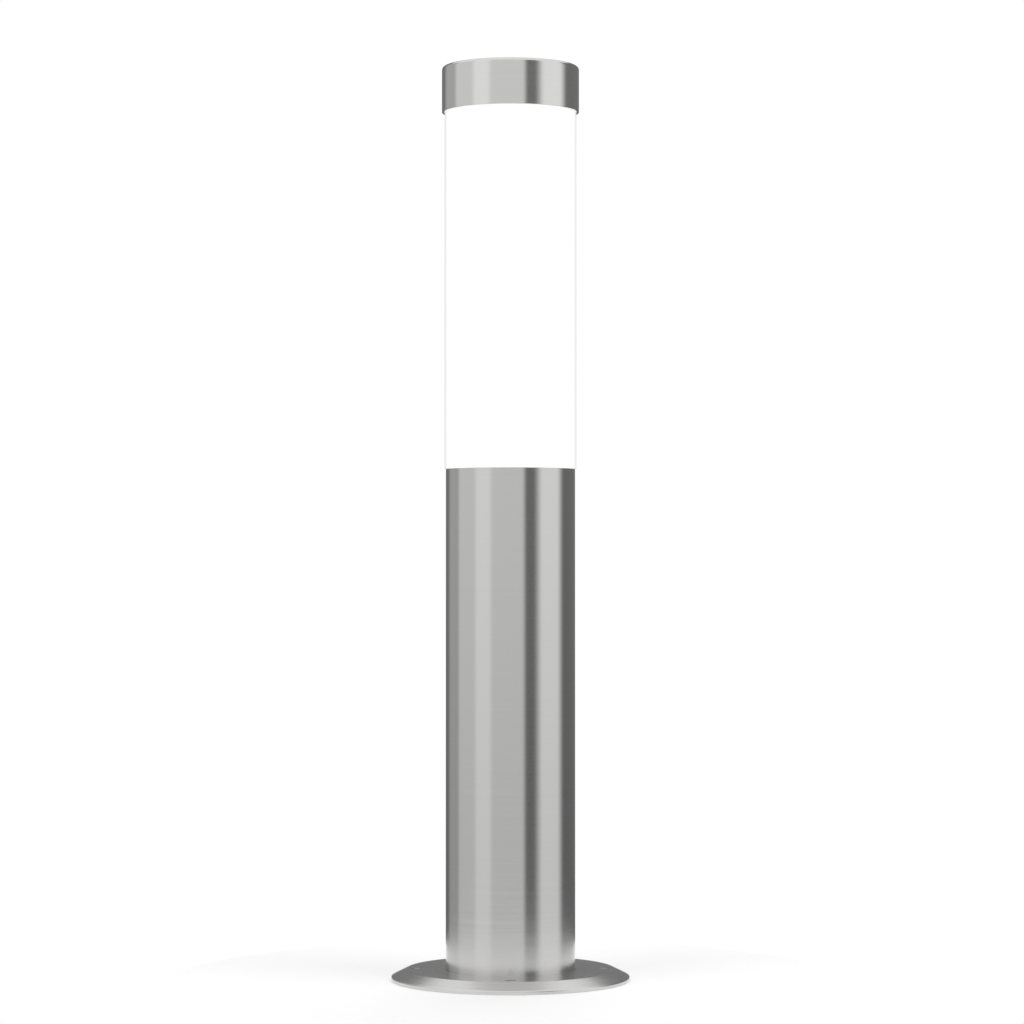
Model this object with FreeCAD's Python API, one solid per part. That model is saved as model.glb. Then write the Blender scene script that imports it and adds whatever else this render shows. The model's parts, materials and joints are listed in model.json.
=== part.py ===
"""Bollard light: a round steel post on a screw-down flange, with an opal tube and a steel cap on top.

The cap, the opal tube and the collar under it are one head, which lifts off the post once its two lock
screws are backed off. Under it a screw-in lamp stands in its holder, on a tray that hangs in the post.

Millimetres. +Z is up, the ground is z = 0, the post's axis is the Z axis, and the lock screws are at +Y.
"""

import FreeCAD, Part
import math
import os

V = FreeCAD.Vector
UP = V(0, 0, 1)

# ---- driving sizes -------------------------------------------------------------------------------
# post
POST_OD = 76.1
POST_WALL = 1.5
POST_TOP_Z = 300.0
POST_END_Z = 1.0

# base flange, a pressed dish that stands on its rim
FLANGE_OD = 140.0
FLANGE_TOP_Z = 6.6
FLANGE_SHEET = 1.5
SKIRT_SLOPE = 26.0
RIM_FLAT = 1.1
RIM_ROUND = 1.0
RIM_EDGE = 0.4
CREASE_ROUND = 1.0
FIXING_HOLE_D = 6.5
FIXING_HOLE_COUNT = 4
FIXING_HOLE_INSET = 6.0
WELD_LEG = 2.5
WELD_HOLLOW = 0.4

# head: opal tube, collar and cap
TUBE_OVERHANG = 0.75
TUBE_WALL = 3.0
TUBE_SHOWN = 210.0
TUBE_EDGE = 0.4
CAP_HEIGHT = 27.0
CAP_SHEET = 1.2
CAP_ROUND = 2.0
CAP_GAP = 0.4
LINER_SHEET = 2.5
LINER_SKIRT = 18.0
LINER_SKIRT_WALL = 2.5
LINER_EDGE = 0.6
TOP_GASKET_THICK = 1.5
COLLAR_WALL = 2.2
COLLAR_SKIRT_WALL = 2.5
COLLAR_SKIRT = 16.0
COLLAR_SHOULDER = 2.5
COLLAR_EDGE = 0.6
SPIGOT_CLEARANCE = 1.55
STUD_D = 5.0
STUD_LENGTH = 9.8
STUD_NUT_AF = 8.0
STUD_NUT_HEIGHT = 4.0
STUD_WASHER_OD = 10.0
STUD_WASHER_THICK = 1.0

# neck ring in the post's mouth
NECK_WALL = 3.0
NECK_HEIGHT = 20.5
HEAD_GASKET_THICK = 2.5
LUG_COUNT = 3
LUG_FIRST_ANGLE = 90.0
LUG_MARGIN = 2.2
LUG_THICK = 4.0
LUG_WIDTH = 11.0
LOCK_SCREW_D = 4.0
LOCK_SCREW_LENGTH = 4.0
LOCK_SCREW_DROP = 5.5
LOCK_SCREW_ANGLES = (60.0, 120.0)
LOCK_HEX_AF = 2.0
LOCK_HEX_DEPTH = 2.0
LOCK_POINT_SHARE = 0.6
LOCK_EDGE_SHARE = 0.15

# tray: plate, strap and what they carry
TRAY_SHEET = 1.5
TRAY_SCREW_D = 3.0
TRAY_SCREW_LENGTH = 5.0
STRAP_WIDTH = 18.0
STRAP_FACE_Y = 10.0
STRAP_FOOT = 16.0
STRAP_LENGTH = 89.0
RIVET_D = 3.2
RIVET_SPACING = 10.0
RIVET_REACH = 0.6
BLOCK_POLES = 3
BLOCK_PITCH = 12.0
BLOCK_POLE_WIDTH = 9.5
BLOCK_DEPTH = 15.0
BLOCK_WEB_DEPTH = 6.0
BLOCK_HEIGHT = 21.0
BLOCK_TOP_DROP = 28.0
BLOCK_SCREW_D = 2.5
BARREL_D = 5.0
BARREL_BORE = 3.2
BARREL_LENGTH = 17.0
CLAMP_SCREW_D = 2.6
CLAMP_SCREW_SPACING = 10.0
CLAMP_SCREW_SUNK = 1.5
DRIVER_SLOT = 0.6
CABLE_D = 9.0
SADDLE_WALL = 2.5
SADDLE_HEIGHT = 10.0
SADDLE_FOOT = 3.5
SADDLE_SCREW_SPACING = 20.0
SADDLE_SCREW_D = 3.0
SADDLE_MARGIN = 1.0
SADDLE_LIFT = 6.0
EARTH_SCREW_D = 4.0
EARTH_LIFT = 27.0
EARTH_X = -5.0
EARTH_RING_OD = 8.4
EARTH_RING_THICK = 0.8
EARTH_NUT_AF = 7.0
EARTH_NUT_HEIGHT = 3.2
CRIMP_WALL = 0.6
CRIMP_LENGTH = 6.0
CRIMP_NECK = 3.2
THREAD_SHOWN = 1.0
WIRE_D = 2.2
WIRE_IN_BARREL = 1.6
WIRE_BEND_SHARE = 0.45
HOLDER_WIRE_STRAIGHT = 0.45
NIPPLE_LEAD = 1.0
NIPPLE_RUN = 10.0
EARTH_WIRE_STANDOFF = 1.0

# lamp holder
HOLDER_OD = 39.0
HOLDER_WALL = 2.0
HOLDER_CUP_WALL = 1.6
HOLDER_BOSS_OD = 20.0
HOLDER_DOME = 19.5
HOLDER_SKIRT = 27.0
HOLDER_JOINT = 5.0
HOLDER_FLOOR_Z = 13.5
HOLDER_BOSS_HEIGHT = 5.0
HOLDER_SHOULDER = 6.0
HOLDER_WELL = 2.5
HOLDER_LEDGE = 2.0
HOLDER_LIP = 3.0
HOLDER_EDGE = 0.6
GRIP_COUNT = 24
GRIP_ROUND = 0.8
GRIP_DEPTH = 0.6
INSERT_THICK = 6.5
INSERT_MARGIN = 1.9
SOCKET_SHEET = 0.4
SOCKET_LENGTH = 24.0
CONTACT_SHEET = 0.6
CONTACT_WIDTH = 5.0
CONTACT_RISE = 1.5
CONTACT_REACH = 9.5
CONTACT_INSET = 1.0
CONTACT_RAMP = 2.0
HOLDER_WIRE_X = 5.0
HOLDER_WIRE_HOLE = 3.0
NIPPLE_D = 10.0
NIPPLE_BORE = 7.2
NIPPLE_LENGTH = 12.5
NIPPLE_UP = 4.5
HOLDER_NUT_AF = 14.0
HOLDER_NUT_HEIGHT = 4.5
HOLDER_WASHER_OD = 15.0
HOLDER_WASHER_THICK = 0.8

# lamp
LAMP_LENGTH = 100.0
GLOBE_D = 55.0
GLOBE_WALL = 1.2
LAMP_SHELL_SHEET = 0.4
LAMP_SHELL_LENGTH = 20.5
LAMP_SHELL_TURN = 1.0
LAMP_TIP_D = 9.6
LAMP_TIP_THICK = 1.2
LAMP_INSULATOR = 3.8
LAMP_INSULATOR_FOOT = 1.0
LAMP_INSULATOR_INSIDE = 2.0
LAMP_HOUSING_WALL = 1.6
LAMP_HOUSING_SPIGOT = 10.0
LAMP_HOUSING_FOOT = 1.2
LAMP_HOUSING_WAIST = 8.0
LAMP_HOUSING_BROW = 10.0
LAMP_HOUSING_DRAFT = 1.0
LAMP_HOUSING_ROUND = 10.0
LAMP_SEAM_DROP = 6.5
LED_BOARD_THICK = 1.6
LED_BOARD_LEDGE = 1.2
LED_COUNT = 10
LED_CIRCLE = 26.0
LED_SIZE = 3.0
LED_THICK = 0.8
DRIVER_WIDTH = 16.0
DRIVER_THICK = 1.6
DRIVER_HEIGHT = 26.0
CAPACITOR_D = 7.0
TRANSFORMER = 9.0

# fasteners, as shares of their own diameter
PAN_HEAD_RADIUS = 0.95
PAN_HEAD_HEIGHT = 0.65
PAN_HEAD_ROUND = 0.4
RECESS_ARM = 0.52
RECESS_WIDTH = 0.2
RECESS_DEPTH = 0.4
SCREW_POINT = 0.35
SCREW_POINT_LENGTH = 0.4
RIVET_HEAD_RADIUS = 0.95
RIVET_TAIL_RADIUS = 0.72
RIVET_HEAD_HEIGHT = 0.3
RIVET_HEAD_ROUND = 0.7

# clearances
BOND_GAP = 0.1
SLIDE_GAP = 0.3
SCREW_GAP = 0.05
LOCK_POINT_GAP = 0.2
SOCKET_GAP = 0.5
SOCKET_FIT = 0.4
PAST = 1.0

# ---- places worked out from the sizes ------------------------------------------------------------
POST_R = POST_OD / 2
POST_BORE_R = POST_R - POST_WALL

NECK_OUT_R = POST_BORE_R - SCREW_GAP
NECK_IN_R = NECK_OUT_R - NECK_WALL
NECK_TOP_Z = POST_TOP_Z - HEAD_GASKET_THICK
NECK_END_Z = NECK_TOP_Z - NECK_HEIGHT
LUG_SCREW_R = NECK_IN_R - SLIDE_GAP - TRAY_SCREW_D * PAN_HEAD_RADIUS
LUG_R = LUG_SCREW_R - TRAY_SCREW_D / 2 - LUG_MARGIN
TRAY_Z = NECK_END_Z + LUG_THICK
TRAY_TOP_Z = TRAY_Z + TRAY_SHEET
TRAY_R = NECK_IN_R - SLIDE_GAP
LOCK_SCREW_Z = NECK_TOP_Z - LOCK_SCREW_DROP

TUBE_R = POST_R + TUBE_OVERHANG
TUBE_BORE_R = TUBE_R - TUBE_WALL
CAP_LIP_Z = POST_TOP_Z + TUBE_SHOWN
CAP_TOP_Z = CAP_LIP_Z + CAP_HEIGHT
CAP_IN_R = TUBE_R + CAP_GAP
CAP_R = CAP_IN_R + CAP_SHEET
LINER_TOP_Z = CAP_TOP_Z - CAP_SHEET
LINER_Z = LINER_TOP_Z - LINER_SHEET
TUBE_TOP_Z = LINER_Z - TOP_GASKET_THICK
SPIGOT_R = NECK_IN_R - SLIDE_GAP
COLLAR_BORE_R = SPIGOT_R - COLLAR_WALL
SPIGOT_DEPTH = POST_TOP_Z - TRAY_TOP_Z - TRAY_SCREW_D * PAN_HEAD_HEIGHT - SPIGOT_CLEARANCE
COLLAR_END_Z = POST_TOP_Z - SPIGOT_DEPTH
COLLAR_R = TUBE_BORE_R - BOND_GAP

FLANGE_R = FLANGE_OD / 2
SKIRT_ANGLE = math.radians(SKIRT_SLOPE)
RIM_HEIGHT = FLANGE_SHEET / math.cos(SKIRT_ANGLE) + RIM_FLAT * math.tan(SKIRT_ANGLE)
CREASE_R = FLANGE_R - (FLANGE_TOP_Z - RIM_HEIGHT) / math.tan(SKIRT_ANGLE)
FIXING_CIRCLE_R = CREASE_R - FIXING_HOLE_INSET
FLANGE_UNDER_Z = FLANGE_TOP_Z - FLANGE_SHEET

STRAP_TOP_Z = TRAY_Z
STRAP_END_Z = STRAP_TOP_Z - STRAP_LENGTH
STRAP_BACK_Y = STRAP_FACE_Y + TRAY_SHEET
BLOCK_TOP_Z = STRAP_TOP_Z - BLOCK_TOP_DROP
BLOCK_Z = BLOCK_TOP_Z - BLOCK_HEIGHT
BLOCK_MID_Z = BLOCK_TOP_Z - BLOCK_HEIGHT / 2
BLOCK_FRONT_Y = STRAP_FACE_Y - BLOCK_DEPTH
WIRE_END_Z = BLOCK_MID_Z + BARREL_LENGTH / 2 - WIRE_IN_BARREL
BARREL_Y = STRAP_FACE_Y - BLOCK_WEB_DEPTH - BARREL_D / 2
POLE_X = [(i - (BLOCK_POLES - 1) / 2) * BLOCK_PITCH for i in range(BLOCK_POLES)]
WEB_X = [(a + b) / 2 for a, b in zip(POLE_X, POLE_X[1:])]
BLOCK_HEAD_R = BLOCK_SCREW_D * PAN_HEAD_RADIUS + BOND_GAP
SADDLE_HALF = SADDLE_SCREW_SPACING / 2 + SADDLE_SCREW_D * PAN_HEAD_RADIUS + SADDLE_MARGIN
SADDLE_Z = STRAP_END_Z + SADDLE_LIFT
CABLE_Y = STRAP_FACE_Y - CABLE_D / 2
EARTH_Z = STRAP_END_Z + EARTH_LIFT
CRIMP_R = WIRE_D / 2 + CRIMP_WALL
CRIMP_Y = STRAP_FACE_Y - CRIMP_R
CRIMP_X = EARTH_X + EARTH_RING_OD / 2 + THREAD_SHOWN

HOLDER_R = HOLDER_OD / 2
HOLDER_SEAM_Z = TRAY_TOP_Z + HOLDER_DOME
HOLDER_TOP_Z = HOLDER_SEAM_Z + HOLDER_SKIRT
INSERT_Z = TRAY_TOP_Z + HOLDER_FLOOR_Z
INSERT_TOP_Z = INSERT_Z + INSERT_THICK
INSERT_OD = HOLDER_OD - 2 * (HOLDER_WALL + HOLDER_CUP_WALL + 2 * BOND_GAP)
INSERT_R = INSERT_OD / 2
SOCKET_BORE = INSERT_OD - 2 * (INSERT_MARGIN + SOCKET_SHEET)
SOCKET_R = SOCKET_BORE / 2
NIPPLE_TOP_Z = TRAY_TOP_Z + NIPPLE_UP

LAMP_TIP_Z = INSERT_TOP_Z + CONTACT_RISE
LAMP_TOP_Z = LAMP_TIP_Z + LAMP_LENGTH
LAMP_INSULATOR_Z = LAMP_TIP_Z + LAMP_TIP_THICK
LAMP_SHELL_Z = LAMP_INSULATOR_Z + LAMP_INSULATOR
LAMP_SHELL_TOP_Z = LAMP_SHELL_Z + LAMP_SHELL_LENGTH
LAMP_SHELL_D = SOCKET_BORE - 2 * SOCKET_FIT
LAMP_SHELL_R = LAMP_SHELL_D / 2
LAMP_HOUSING_Z = HOLDER_TOP_Z + SOCKET_GAP
GLOBE_R = GLOBE_D / 2
GLOBE_Z = LAMP_TOP_Z - GLOBE_R
LAMP_SEAM_Z = GLOBE_Z - LAMP_SEAM_DROP
LAMP_SEAM_R = math.sqrt(GLOBE_R**2 - LAMP_SEAM_DROP**2)
LED_BOARD_Z = LAMP_SEAM_Z - LED_BOARD_THICK
LED_BOARD_R = LAMP_SEAM_R - LAMP_HOUSING_WALL


# ---- shapes that several pieces share ------------------------------------------------------------
def ring(outer, inner, low, high):
    """A plain ring round the Z axis."""
    return disc(outer, low, high).cut(disc(inner, low - PAST, high + PAST))


def disc(radius, low, high, x=0.0, y=0.0):
    """An upright cylinder between two heights."""
    return Part.makeCylinder(radius, high - low, V(x, y, low), UP)


def block(x, y, z):
    """A box from its three (low, high) spans."""
    return Part.makeBox(x[1] - x[0], y[1] - y[0], z[1] - z[0], V(x[0], y[0], z[0]))


def rounded_wire(corners):
    """A closed wire through (point, radius) corners, with a tangent arc at each corner that has a radius."""
    edges, ends = [], []
    for i, (point, radius) in enumerate(corners):
        back = (corners[i - 1][0] - point).normalize()
        ahead = (corners[(i + 1) % len(corners)][0] - point).normalize()
        if not radius:
            ends.append((point, point, None))
            continue
        half = back.getAngle(ahead) / 2
        cut = radius / math.tan(half)
        middle = point + (back + ahead).normalize() * (radius / math.sin(half) - radius)
        ends.append((point + back * cut, point + ahead * cut, middle))
    for i, (start, end, middle) in enumerate(ends):
        if middle:
            edges.append(Part.Arc(start, middle, end).toShape())
        following = ends[(i + 1) % len(ends)][0]
        if end.distanceToPoint(following) > 1e-7:
            edges.append(Part.LineSegment(end, following).toShape())
    return Part.Wire(edges)


def lathe(*corners):
    """The solid turned round the Z axis from (radius, height) or (radius, height, corner radius) corners."""
    points = [(V(c[0], 0, c[1]), c[2] if len(c) > 2 else 0.0) for c in corners]
    face = Part.Face(rounded_wire(points))
    return face.revolve(V(0, 0, 0), UP, 360)


def hexagon(across_flats, low, high, turn=0.0):
    """An upright hexagonal prism on the Z axis. At turn 0 two of its flats face +Y and -Y."""
    radius = across_flats / math.sqrt(3)
    corners = []
    for i in range(6):
        angle = math.radians(60 * i + turn)
        corners.append(V(radius * math.cos(angle), radius * math.sin(angle), low))
    return Part.Face(Part.makePolygon(corners + corners[:1])).extrude(V(0, 0, high - low))


def nut(across_flats, bore, low, high):
    """A hexagon nut whose corners are turned off at both ends."""
    flat_r, corner_r = across_flats / 2, across_flats / math.sqrt(3)
    drop = (corner_r - flat_r) / math.sqrt(3)
    turned = lathe(
        (0, low),
        (flat_r, low),
        (corner_r, low + drop),
        (corner_r, high - drop),
        (flat_r, high),
        (0, high),
    )
    return hexagon(across_flats, low, high).common(turned).cut(disc(bore, low - PAST, high + PAST))


def pan_screw(diameter, length):
    """A cross-recess pan head screw on the Z axis: its head stands on z = 0 and its shank goes down."""
    head_r, head_h, shank_r = diameter * PAN_HEAD_RADIUS, diameter * PAN_HEAD_HEIGHT, diameter / 2
    head = lathe((0, 0), (head_r, 0), (head_r, head_h, diameter * PAN_HEAD_ROUND), (0, head_h))
    shank = lathe(
        (0, -length),
        (diameter * SCREW_POINT, -length),
        (shank_r, diameter * SCREW_POINT_LENGTH - length),
        (shank_r, 0),
        (0, 0),
    )
    arm, slot = diameter * RECESS_ARM, diameter * RECESS_WIDTH / 2
    depth = (head_h - diameter * RECESS_DEPTH, head_h + PAST)
    recess = block((-arm, arm), (-slot, slot), depth).fuse(block((-slot, slot), (-arm, arm), depth))
    return head.fuse(shank).cut(recess).removeSplitter()


def rivet(diameter, grip, low):
    """An upright blind rivet through a stack of sheets that starts at the height low."""
    head_r, tail_r, head_h = (diameter * k for k in (RIVET_HEAD_RADIUS, RIVET_TAIL_RADIUS, RIVET_HEAD_HEIGHT))
    top, rounding = low + grip, head_h * RIVET_HEAD_ROUND
    upper = lathe((0, top), (head_r, top), (head_r, top + head_h, rounding), (0, top + head_h))
    lower = lathe((0, low - head_h), (tail_r, low - head_h, rounding), (tail_r, low), (0, low))
    return upper.fuse([lower, disc(diameter / 2, low, top)]).removeSplitter()


def placed(shape, x, y, z, towards=UP):
    """A copy of a shape made on the Z axis, with its +Z turned towards a direction and its origin moved."""
    copy = shape.copy()
    copy.Placement = FreeCAD.Placement(V(x, y, z), FreeCAD.Rotation(UP, V(towards)))
    return copy


def round_the_axis(radius, count, first=0.0):
    """The (x, y) places of count things spread evenly on a circle."""
    for i in range(count):
        angle = math.radians(first + 360.0 * i / count)
        yield radius * math.cos(angle), radius * math.sin(angle)


def wire_path(points):
    """An open wire of straight runs and tangent arcs, each arc as large as its two runs allow."""
    edges, start = [], points[0]
    for before, here, after in zip(points, points[1:], points[2:]):
        back, ahead = before - here, after - here
        cut = WIRE_BEND_SHARE * min(back.Length, ahead.Length)
        back.normalize()
        ahead.normalize()
        half = back.getAngle(ahead) / 2
        radius = cut * math.tan(half)
        arc_start, arc_end = here + back * cut, here + ahead * cut
        middle = here + (back + ahead).normalize() * (radius / math.sin(half) - radius)
        edges.append(Part.LineSegment(start, arc_start).toShape())
        edges.append(Part.Arc(arc_start, middle, arc_end).toShape())
        start = arc_end
        print(f"wire bend of radius {radius:.1f}")
    edges.append(Part.LineSegment(start, points[-1]).toShape())
    return Part.Wire(edges)


def wire(*places):
    """A round insulated wire along a route of (x, y, z) points."""
    points = [V(*p) for p in places]
    route = wire_path(points)
    section = Part.Wire(Part.makeCircle(WIRE_D / 2, points[0], points[1] - points[0]))
    swept = route.makePipeShell([section], True, False)
    expected = math.pi * (WIRE_D / 2) ** 2 * route.Length
    print(f"wire of length {route.Length:.1f}, volume {swept.Volume:.1f} for {expected:.1f}")
    return swept


# ---- post and base -------------------------------------------------------------------------------
def base_flange():
    """The pressed dish: a flat ring, a sloping skirt and a rim that is dressed flat to stand on."""
    under_crease_r = CREASE_R - FLANGE_SHEET * math.tan(SKIRT_ANGLE / 2)
    hole_r = POST_R + SCREW_GAP
    dish = lathe(
        (hole_r, FLANGE_TOP_Z),
        (CREASE_R, FLANGE_TOP_Z, CREASE_ROUND + FLANGE_SHEET),
        (FLANGE_R, RIM_HEIGHT, RIM_ROUND),
        (FLANGE_R, 0, RIM_EDGE),
        (FLANGE_R - RIM_FLAT, 0),
        (under_crease_r, FLANGE_UNDER_Z, CREASE_ROUND),
        (hole_r, FLANGE_UNDER_Z),
    )
    for x, y in round_the_axis(FIXING_CIRCLE_R, FIXING_HOLE_COUNT, 90.0):
        dish = dish.cut(disc(FIXING_HOLE_D / 2, FLANGE_UNDER_Z - PAST, FLANGE_TOP_Z + PAST, x, y))
    return dish


def post_tube():
    """The post, which goes through the flange, with a clearance hole for each lock screw."""
    tube = ring(POST_R, POST_BORE_R, POST_END_Z, POST_TOP_Z)
    for angle in LOCK_SCREW_ANGLES:
        tube = tube.cut(lock_hole(angle))
    return tube


def base_weld():
    """The fillet weld in the corner between the post and the flange's underside, slightly hollow-faced."""
    r, z, hollow = POST_R + SCREW_GAP, FLANGE_UNDER_Z, WELD_LEG * WELD_HOLLOW
    return lathe((r, z), (r, z - WELD_LEG), (r + hollow, z - hollow), (r + WELD_LEG, z))


def outward(angle):
    """The level direction at an angle round the post."""
    return V(math.cos(math.radians(angle)), math.sin(math.radians(angle)), 0)


def lock_hole(angle):
    """The hole that a lock screw runs in, from inside the neck ring to outside the post."""
    way = outward(angle)
    start = way * (NECK_IN_R - PAST)
    radius = LOCK_SCREW_D / 2 + SCREW_GAP
    return Part.makeCylinder(radius, POST_R - NECK_IN_R + 2 * PAST, V(start.x, start.y, LOCK_SCREW_Z), way)


def lock_screw(angle):
    """A hexagon socket set screw with a cone point, just off the collar's spigot."""
    radius, length = LOCK_SCREW_D / 2, LOCK_SCREW_LENGTH
    point_r, edge = radius * LOCK_POINT_SHARE, radius * LOCK_EDGE_SHARE
    body = lathe(
        (0, 0),
        (point_r, 0),
        (radius, radius - point_r),
        (radius, length - edge),
        (radius - edge, length),
        (0, length),
    )
    body = body.cut(hexagon(LOCK_HEX_AF, length - LOCK_HEX_DEPTH, length + PAST))
    way = outward(angle)
    point = way * (SPIGOT_R + LOCK_POINT_GAP)
    return placed(body, point.x, point.y, LOCK_SCREW_Z, way)


def neck_ring():
    """The turned ring in the post's mouth. It takes the lock screws, and its lugs carry the tray."""
    body = ring(NECK_OUT_R, NECK_IN_R, NECK_END_Z, NECK_TOP_Z)
    lugs = []
    for i in range(LUG_COUNT):
        lug = block((LUG_R, NECK_IN_R + NECK_WALL / 2), (-LUG_WIDTH / 2, LUG_WIDTH / 2), (NECK_END_Z, TRAY_Z))
        lug.rotate(V(0, 0, 0), UP, LUG_FIRST_ANGLE + 360.0 * i / LUG_COUNT)
        lugs.append(lug)
    body = body.fuse(lugs).removeSplitter()
    for x, y in lug_places():
        body = body.cut(disc(TRAY_SCREW_D / 2 + SCREW_GAP, NECK_END_Z - PAST, TRAY_Z + PAST, x, y))
    for angle in LOCK_SCREW_ANGLES:
        body = body.cut(lock_hole(angle))
    return body


def lug_places():
    """Where the tray screws stand on the lugs."""
    return round_the_axis(LUG_SCREW_R, LUG_COUNT, LUG_FIRST_ANGLE)


def head_gasket():
    """The flat ring that the collar's shoulder presses on."""
    return ring(POST_BORE_R - SCREW_GAP, NECK_IN_R + BOND_GAP, NECK_TOP_Z, POST_TOP_Z)


# ---- tray ----------------------------------------------------------------------------------------
def tray_plate():
    """The disc that closes the neck and carries the lamp holder."""
    drilled = [(0, 0, NIPPLE_D)]
    drilled += [(x, y, TRAY_SCREW_D) for x, y in lug_places()]
    drilled += [(x, y, RIVET_D) for x, y in rivet_places()]
    plate = disc(TRAY_R, TRAY_Z, TRAY_TOP_Z)
    for x, y, size in drilled:
        plate = plate.cut(disc(size / 2 + SCREW_GAP, TRAY_Z - PAST, TRAY_TOP_Z + PAST, x, y))
    return plate


def tray_screws():
    """The screws that hold the plate down on the neck ring's lugs."""
    screw = pan_screw(TRAY_SCREW_D, TRAY_SCREW_LENGTH)
    return [placed(screw, x, y, TRAY_TOP_Z) for x, y in lug_places()]


def rivet_places():
    """Where the strap is riveted to the plate."""
    y = STRAP_FACE_Y + STRAP_FOOT * RIVET_REACH
    return [(-RIVET_SPACING / 2, y), (RIVET_SPACING / 2, y)]


def strap_rivets():
    """The two rivets between the plate and the strap's foot."""
    one = rivet(RIVET_D, 2 * TRAY_SHEET, TRAY_Z - TRAY_SHEET)
    return [placed(one, x, y, 0) for x, y in rivet_places()]


def tray_strap():
    """The bent strap that hangs from the plate, drilled for what it carries."""
    half, foot_y = STRAP_WIDTH / 2, STRAP_FACE_Y + STRAP_FOOT
    side = [
        (V(-half, STRAP_FACE_Y, STRAP_END_Z), 0),
        (V(-half, STRAP_FACE_Y, STRAP_TOP_Z), 2 * TRAY_SHEET),
        (V(-half, foot_y, STRAP_TOP_Z), 0),
        (V(-half, foot_y, STRAP_TOP_Z - TRAY_SHEET), 0),
        (V(-half, STRAP_BACK_Y, STRAP_TOP_Z - TRAY_SHEET), TRAY_SHEET),
        (V(-half, STRAP_BACK_Y, STRAP_END_Z), 0),
    ]
    strap = Part.Face(rounded_wire(side)).extrude(V(STRAP_WIDTH, 0, 0))
    ears_z = (STRAP_END_Z, STRAP_END_Z + 2 * SADDLE_LIFT + SADDLE_HEIGHT)
    ears = block((-SADDLE_HALF, SADDLE_HALF), (STRAP_FACE_Y, STRAP_BACK_Y), ears_z)
    strap = strap.fuse(ears).removeSplitter()
    foot_z = (STRAP_TOP_Z - TRAY_SHEET - PAST, STRAP_TOP_Z + PAST)
    for x, y in rivet_places():
        strap = strap.cut(disc(RIVET_D / 2 + SCREW_GAP, *foot_z, x, y))
    drilled = [(x, BLOCK_MID_Z, BLOCK_SCREW_D) for x in WEB_X]
    drilled += [(x, SADDLE_Z + SADDLE_HEIGHT / 2, SADDLE_SCREW_D) for x in saddle_screw_x()]
    drilled.append((EARTH_X, EARTH_Z, EARTH_SCREW_D))
    for x, z, size in drilled:
        strap = strap.cut(level_rod(x, z, size / 2 + SCREW_GAP, STRAP_FACE_Y - PAST, STRAP_BACK_Y + PAST))
    return strap


def level_rod(x, z, radius, front, back):
    """A cylinder along Y, from front to back."""
    return Part.makeCylinder(radius, back - front, V(x, front, z), V(0, 1, 0))


def saddle_screw_x():
    """Where the saddle's two screws stand."""
    return (-SADDLE_SCREW_SPACING / 2, SADDLE_SCREW_SPACING / 2)


def terminal_block():
    """The moulded terminal strip: one tower for each pole on a common web, with sunk fixing holes."""
    half = (BLOCK_PITCH * (BLOCK_POLES - 1) + BLOCK_POLE_WIDTH) / 2
    web_y = STRAP_FACE_Y - BLOCK_WEB_DEPTH
    body = block((-half, half), (web_y, STRAP_FACE_Y), (BLOCK_Z, BLOCK_TOP_Z))
    towers = []
    for x in POLE_X:
        side = BLOCK_POLE_WIDTH / 2
        towers.append(block((x - side, x + side), (BLOCK_FRONT_Y, STRAP_FACE_Y), (BLOCK_Z, BLOCK_TOP_Z)))
    body = body.fuse(towers).removeSplitter()
    for x in POLE_X:
        body = body.cut(disc(BARREL_D / 2 + SCREW_GAP, BLOCK_Z - PAST, BLOCK_TOP_Z + PAST, x, BARREL_Y))
        for z in clamp_screw_z():
            body = body.cut(level_rod(x, z, CLAMP_SCREW_D / 2 + BOND_GAP, BLOCK_FRONT_Y - PAST, BARREL_Y))
    for x in WEB_X:
        body = body.cut(level_rod(x, BLOCK_MID_Z, BLOCK_HEAD_R, BLOCK_FRONT_Y - PAST, web_y))
        body = body.cut(level_rod(x, BLOCK_MID_Z, BLOCK_SCREW_D / 2 + SCREW_GAP, web_y, STRAP_FACE_Y + PAST))
    return body


def clamp_screw_z():
    """The heights of the two clamping screws in each barrel."""
    return (BLOCK_MID_Z - CLAMP_SCREW_SPACING / 2, BLOCK_MID_Z + CLAMP_SCREW_SPACING / 2)


def terminal_barrels():
    """The brass barrels that grip the conductors."""
    low, high = BLOCK_MID_Z - BARREL_LENGTH / 2, BLOCK_MID_Z + BARREL_LENGTH / 2
    made = []
    for x in POLE_X:
        barrel = disc(BARREL_D / 2, low, high, x, BARREL_Y)
        barrel = barrel.cut(disc(BARREL_BORE / 2, low - PAST, high + PAST, x, BARREL_Y))
        for z in clamp_screw_z():
            barrel = barrel.cut(level_rod(x, z, CLAMP_SCREW_D / 2 + SCREW_GAP, BARREL_Y - BARREL_D, BARREL_Y))
        made.append(barrel)
    return made


def terminal_screws():
    """The slotted clamping screws, two in each barrel, sunk below the block's face."""
    tip_y = BARREL_Y - BARREL_BORE / 4
    length = tip_y - BLOCK_FRONT_Y - CLAMP_SCREW_SUNK
    radius, slot = CLAMP_SCREW_D / 2, DRIVER_SLOT / 2
    screw = disc(radius, 0, length)
    screw = screw.cut(block((-radius, radius), (-slot, slot), (length - 2 * DRIVER_SLOT, length + PAST)))
    return [placed(screw, x, tip_y, z, V(0, -1, 0)) for x in POLE_X for z in clamp_screw_z()]


def block_screws():
    """The screws that hold the terminal block on the strap."""
    screw = pan_screw(BLOCK_SCREW_D, BLOCK_WEB_DEPTH + TRAY_SHEET + THREAD_SHOWN)
    return [placed(screw, x, STRAP_FACE_Y - BLOCK_WEB_DEPTH, BLOCK_MID_Z, V(0, -1, 0)) for x in WEB_X]


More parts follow.
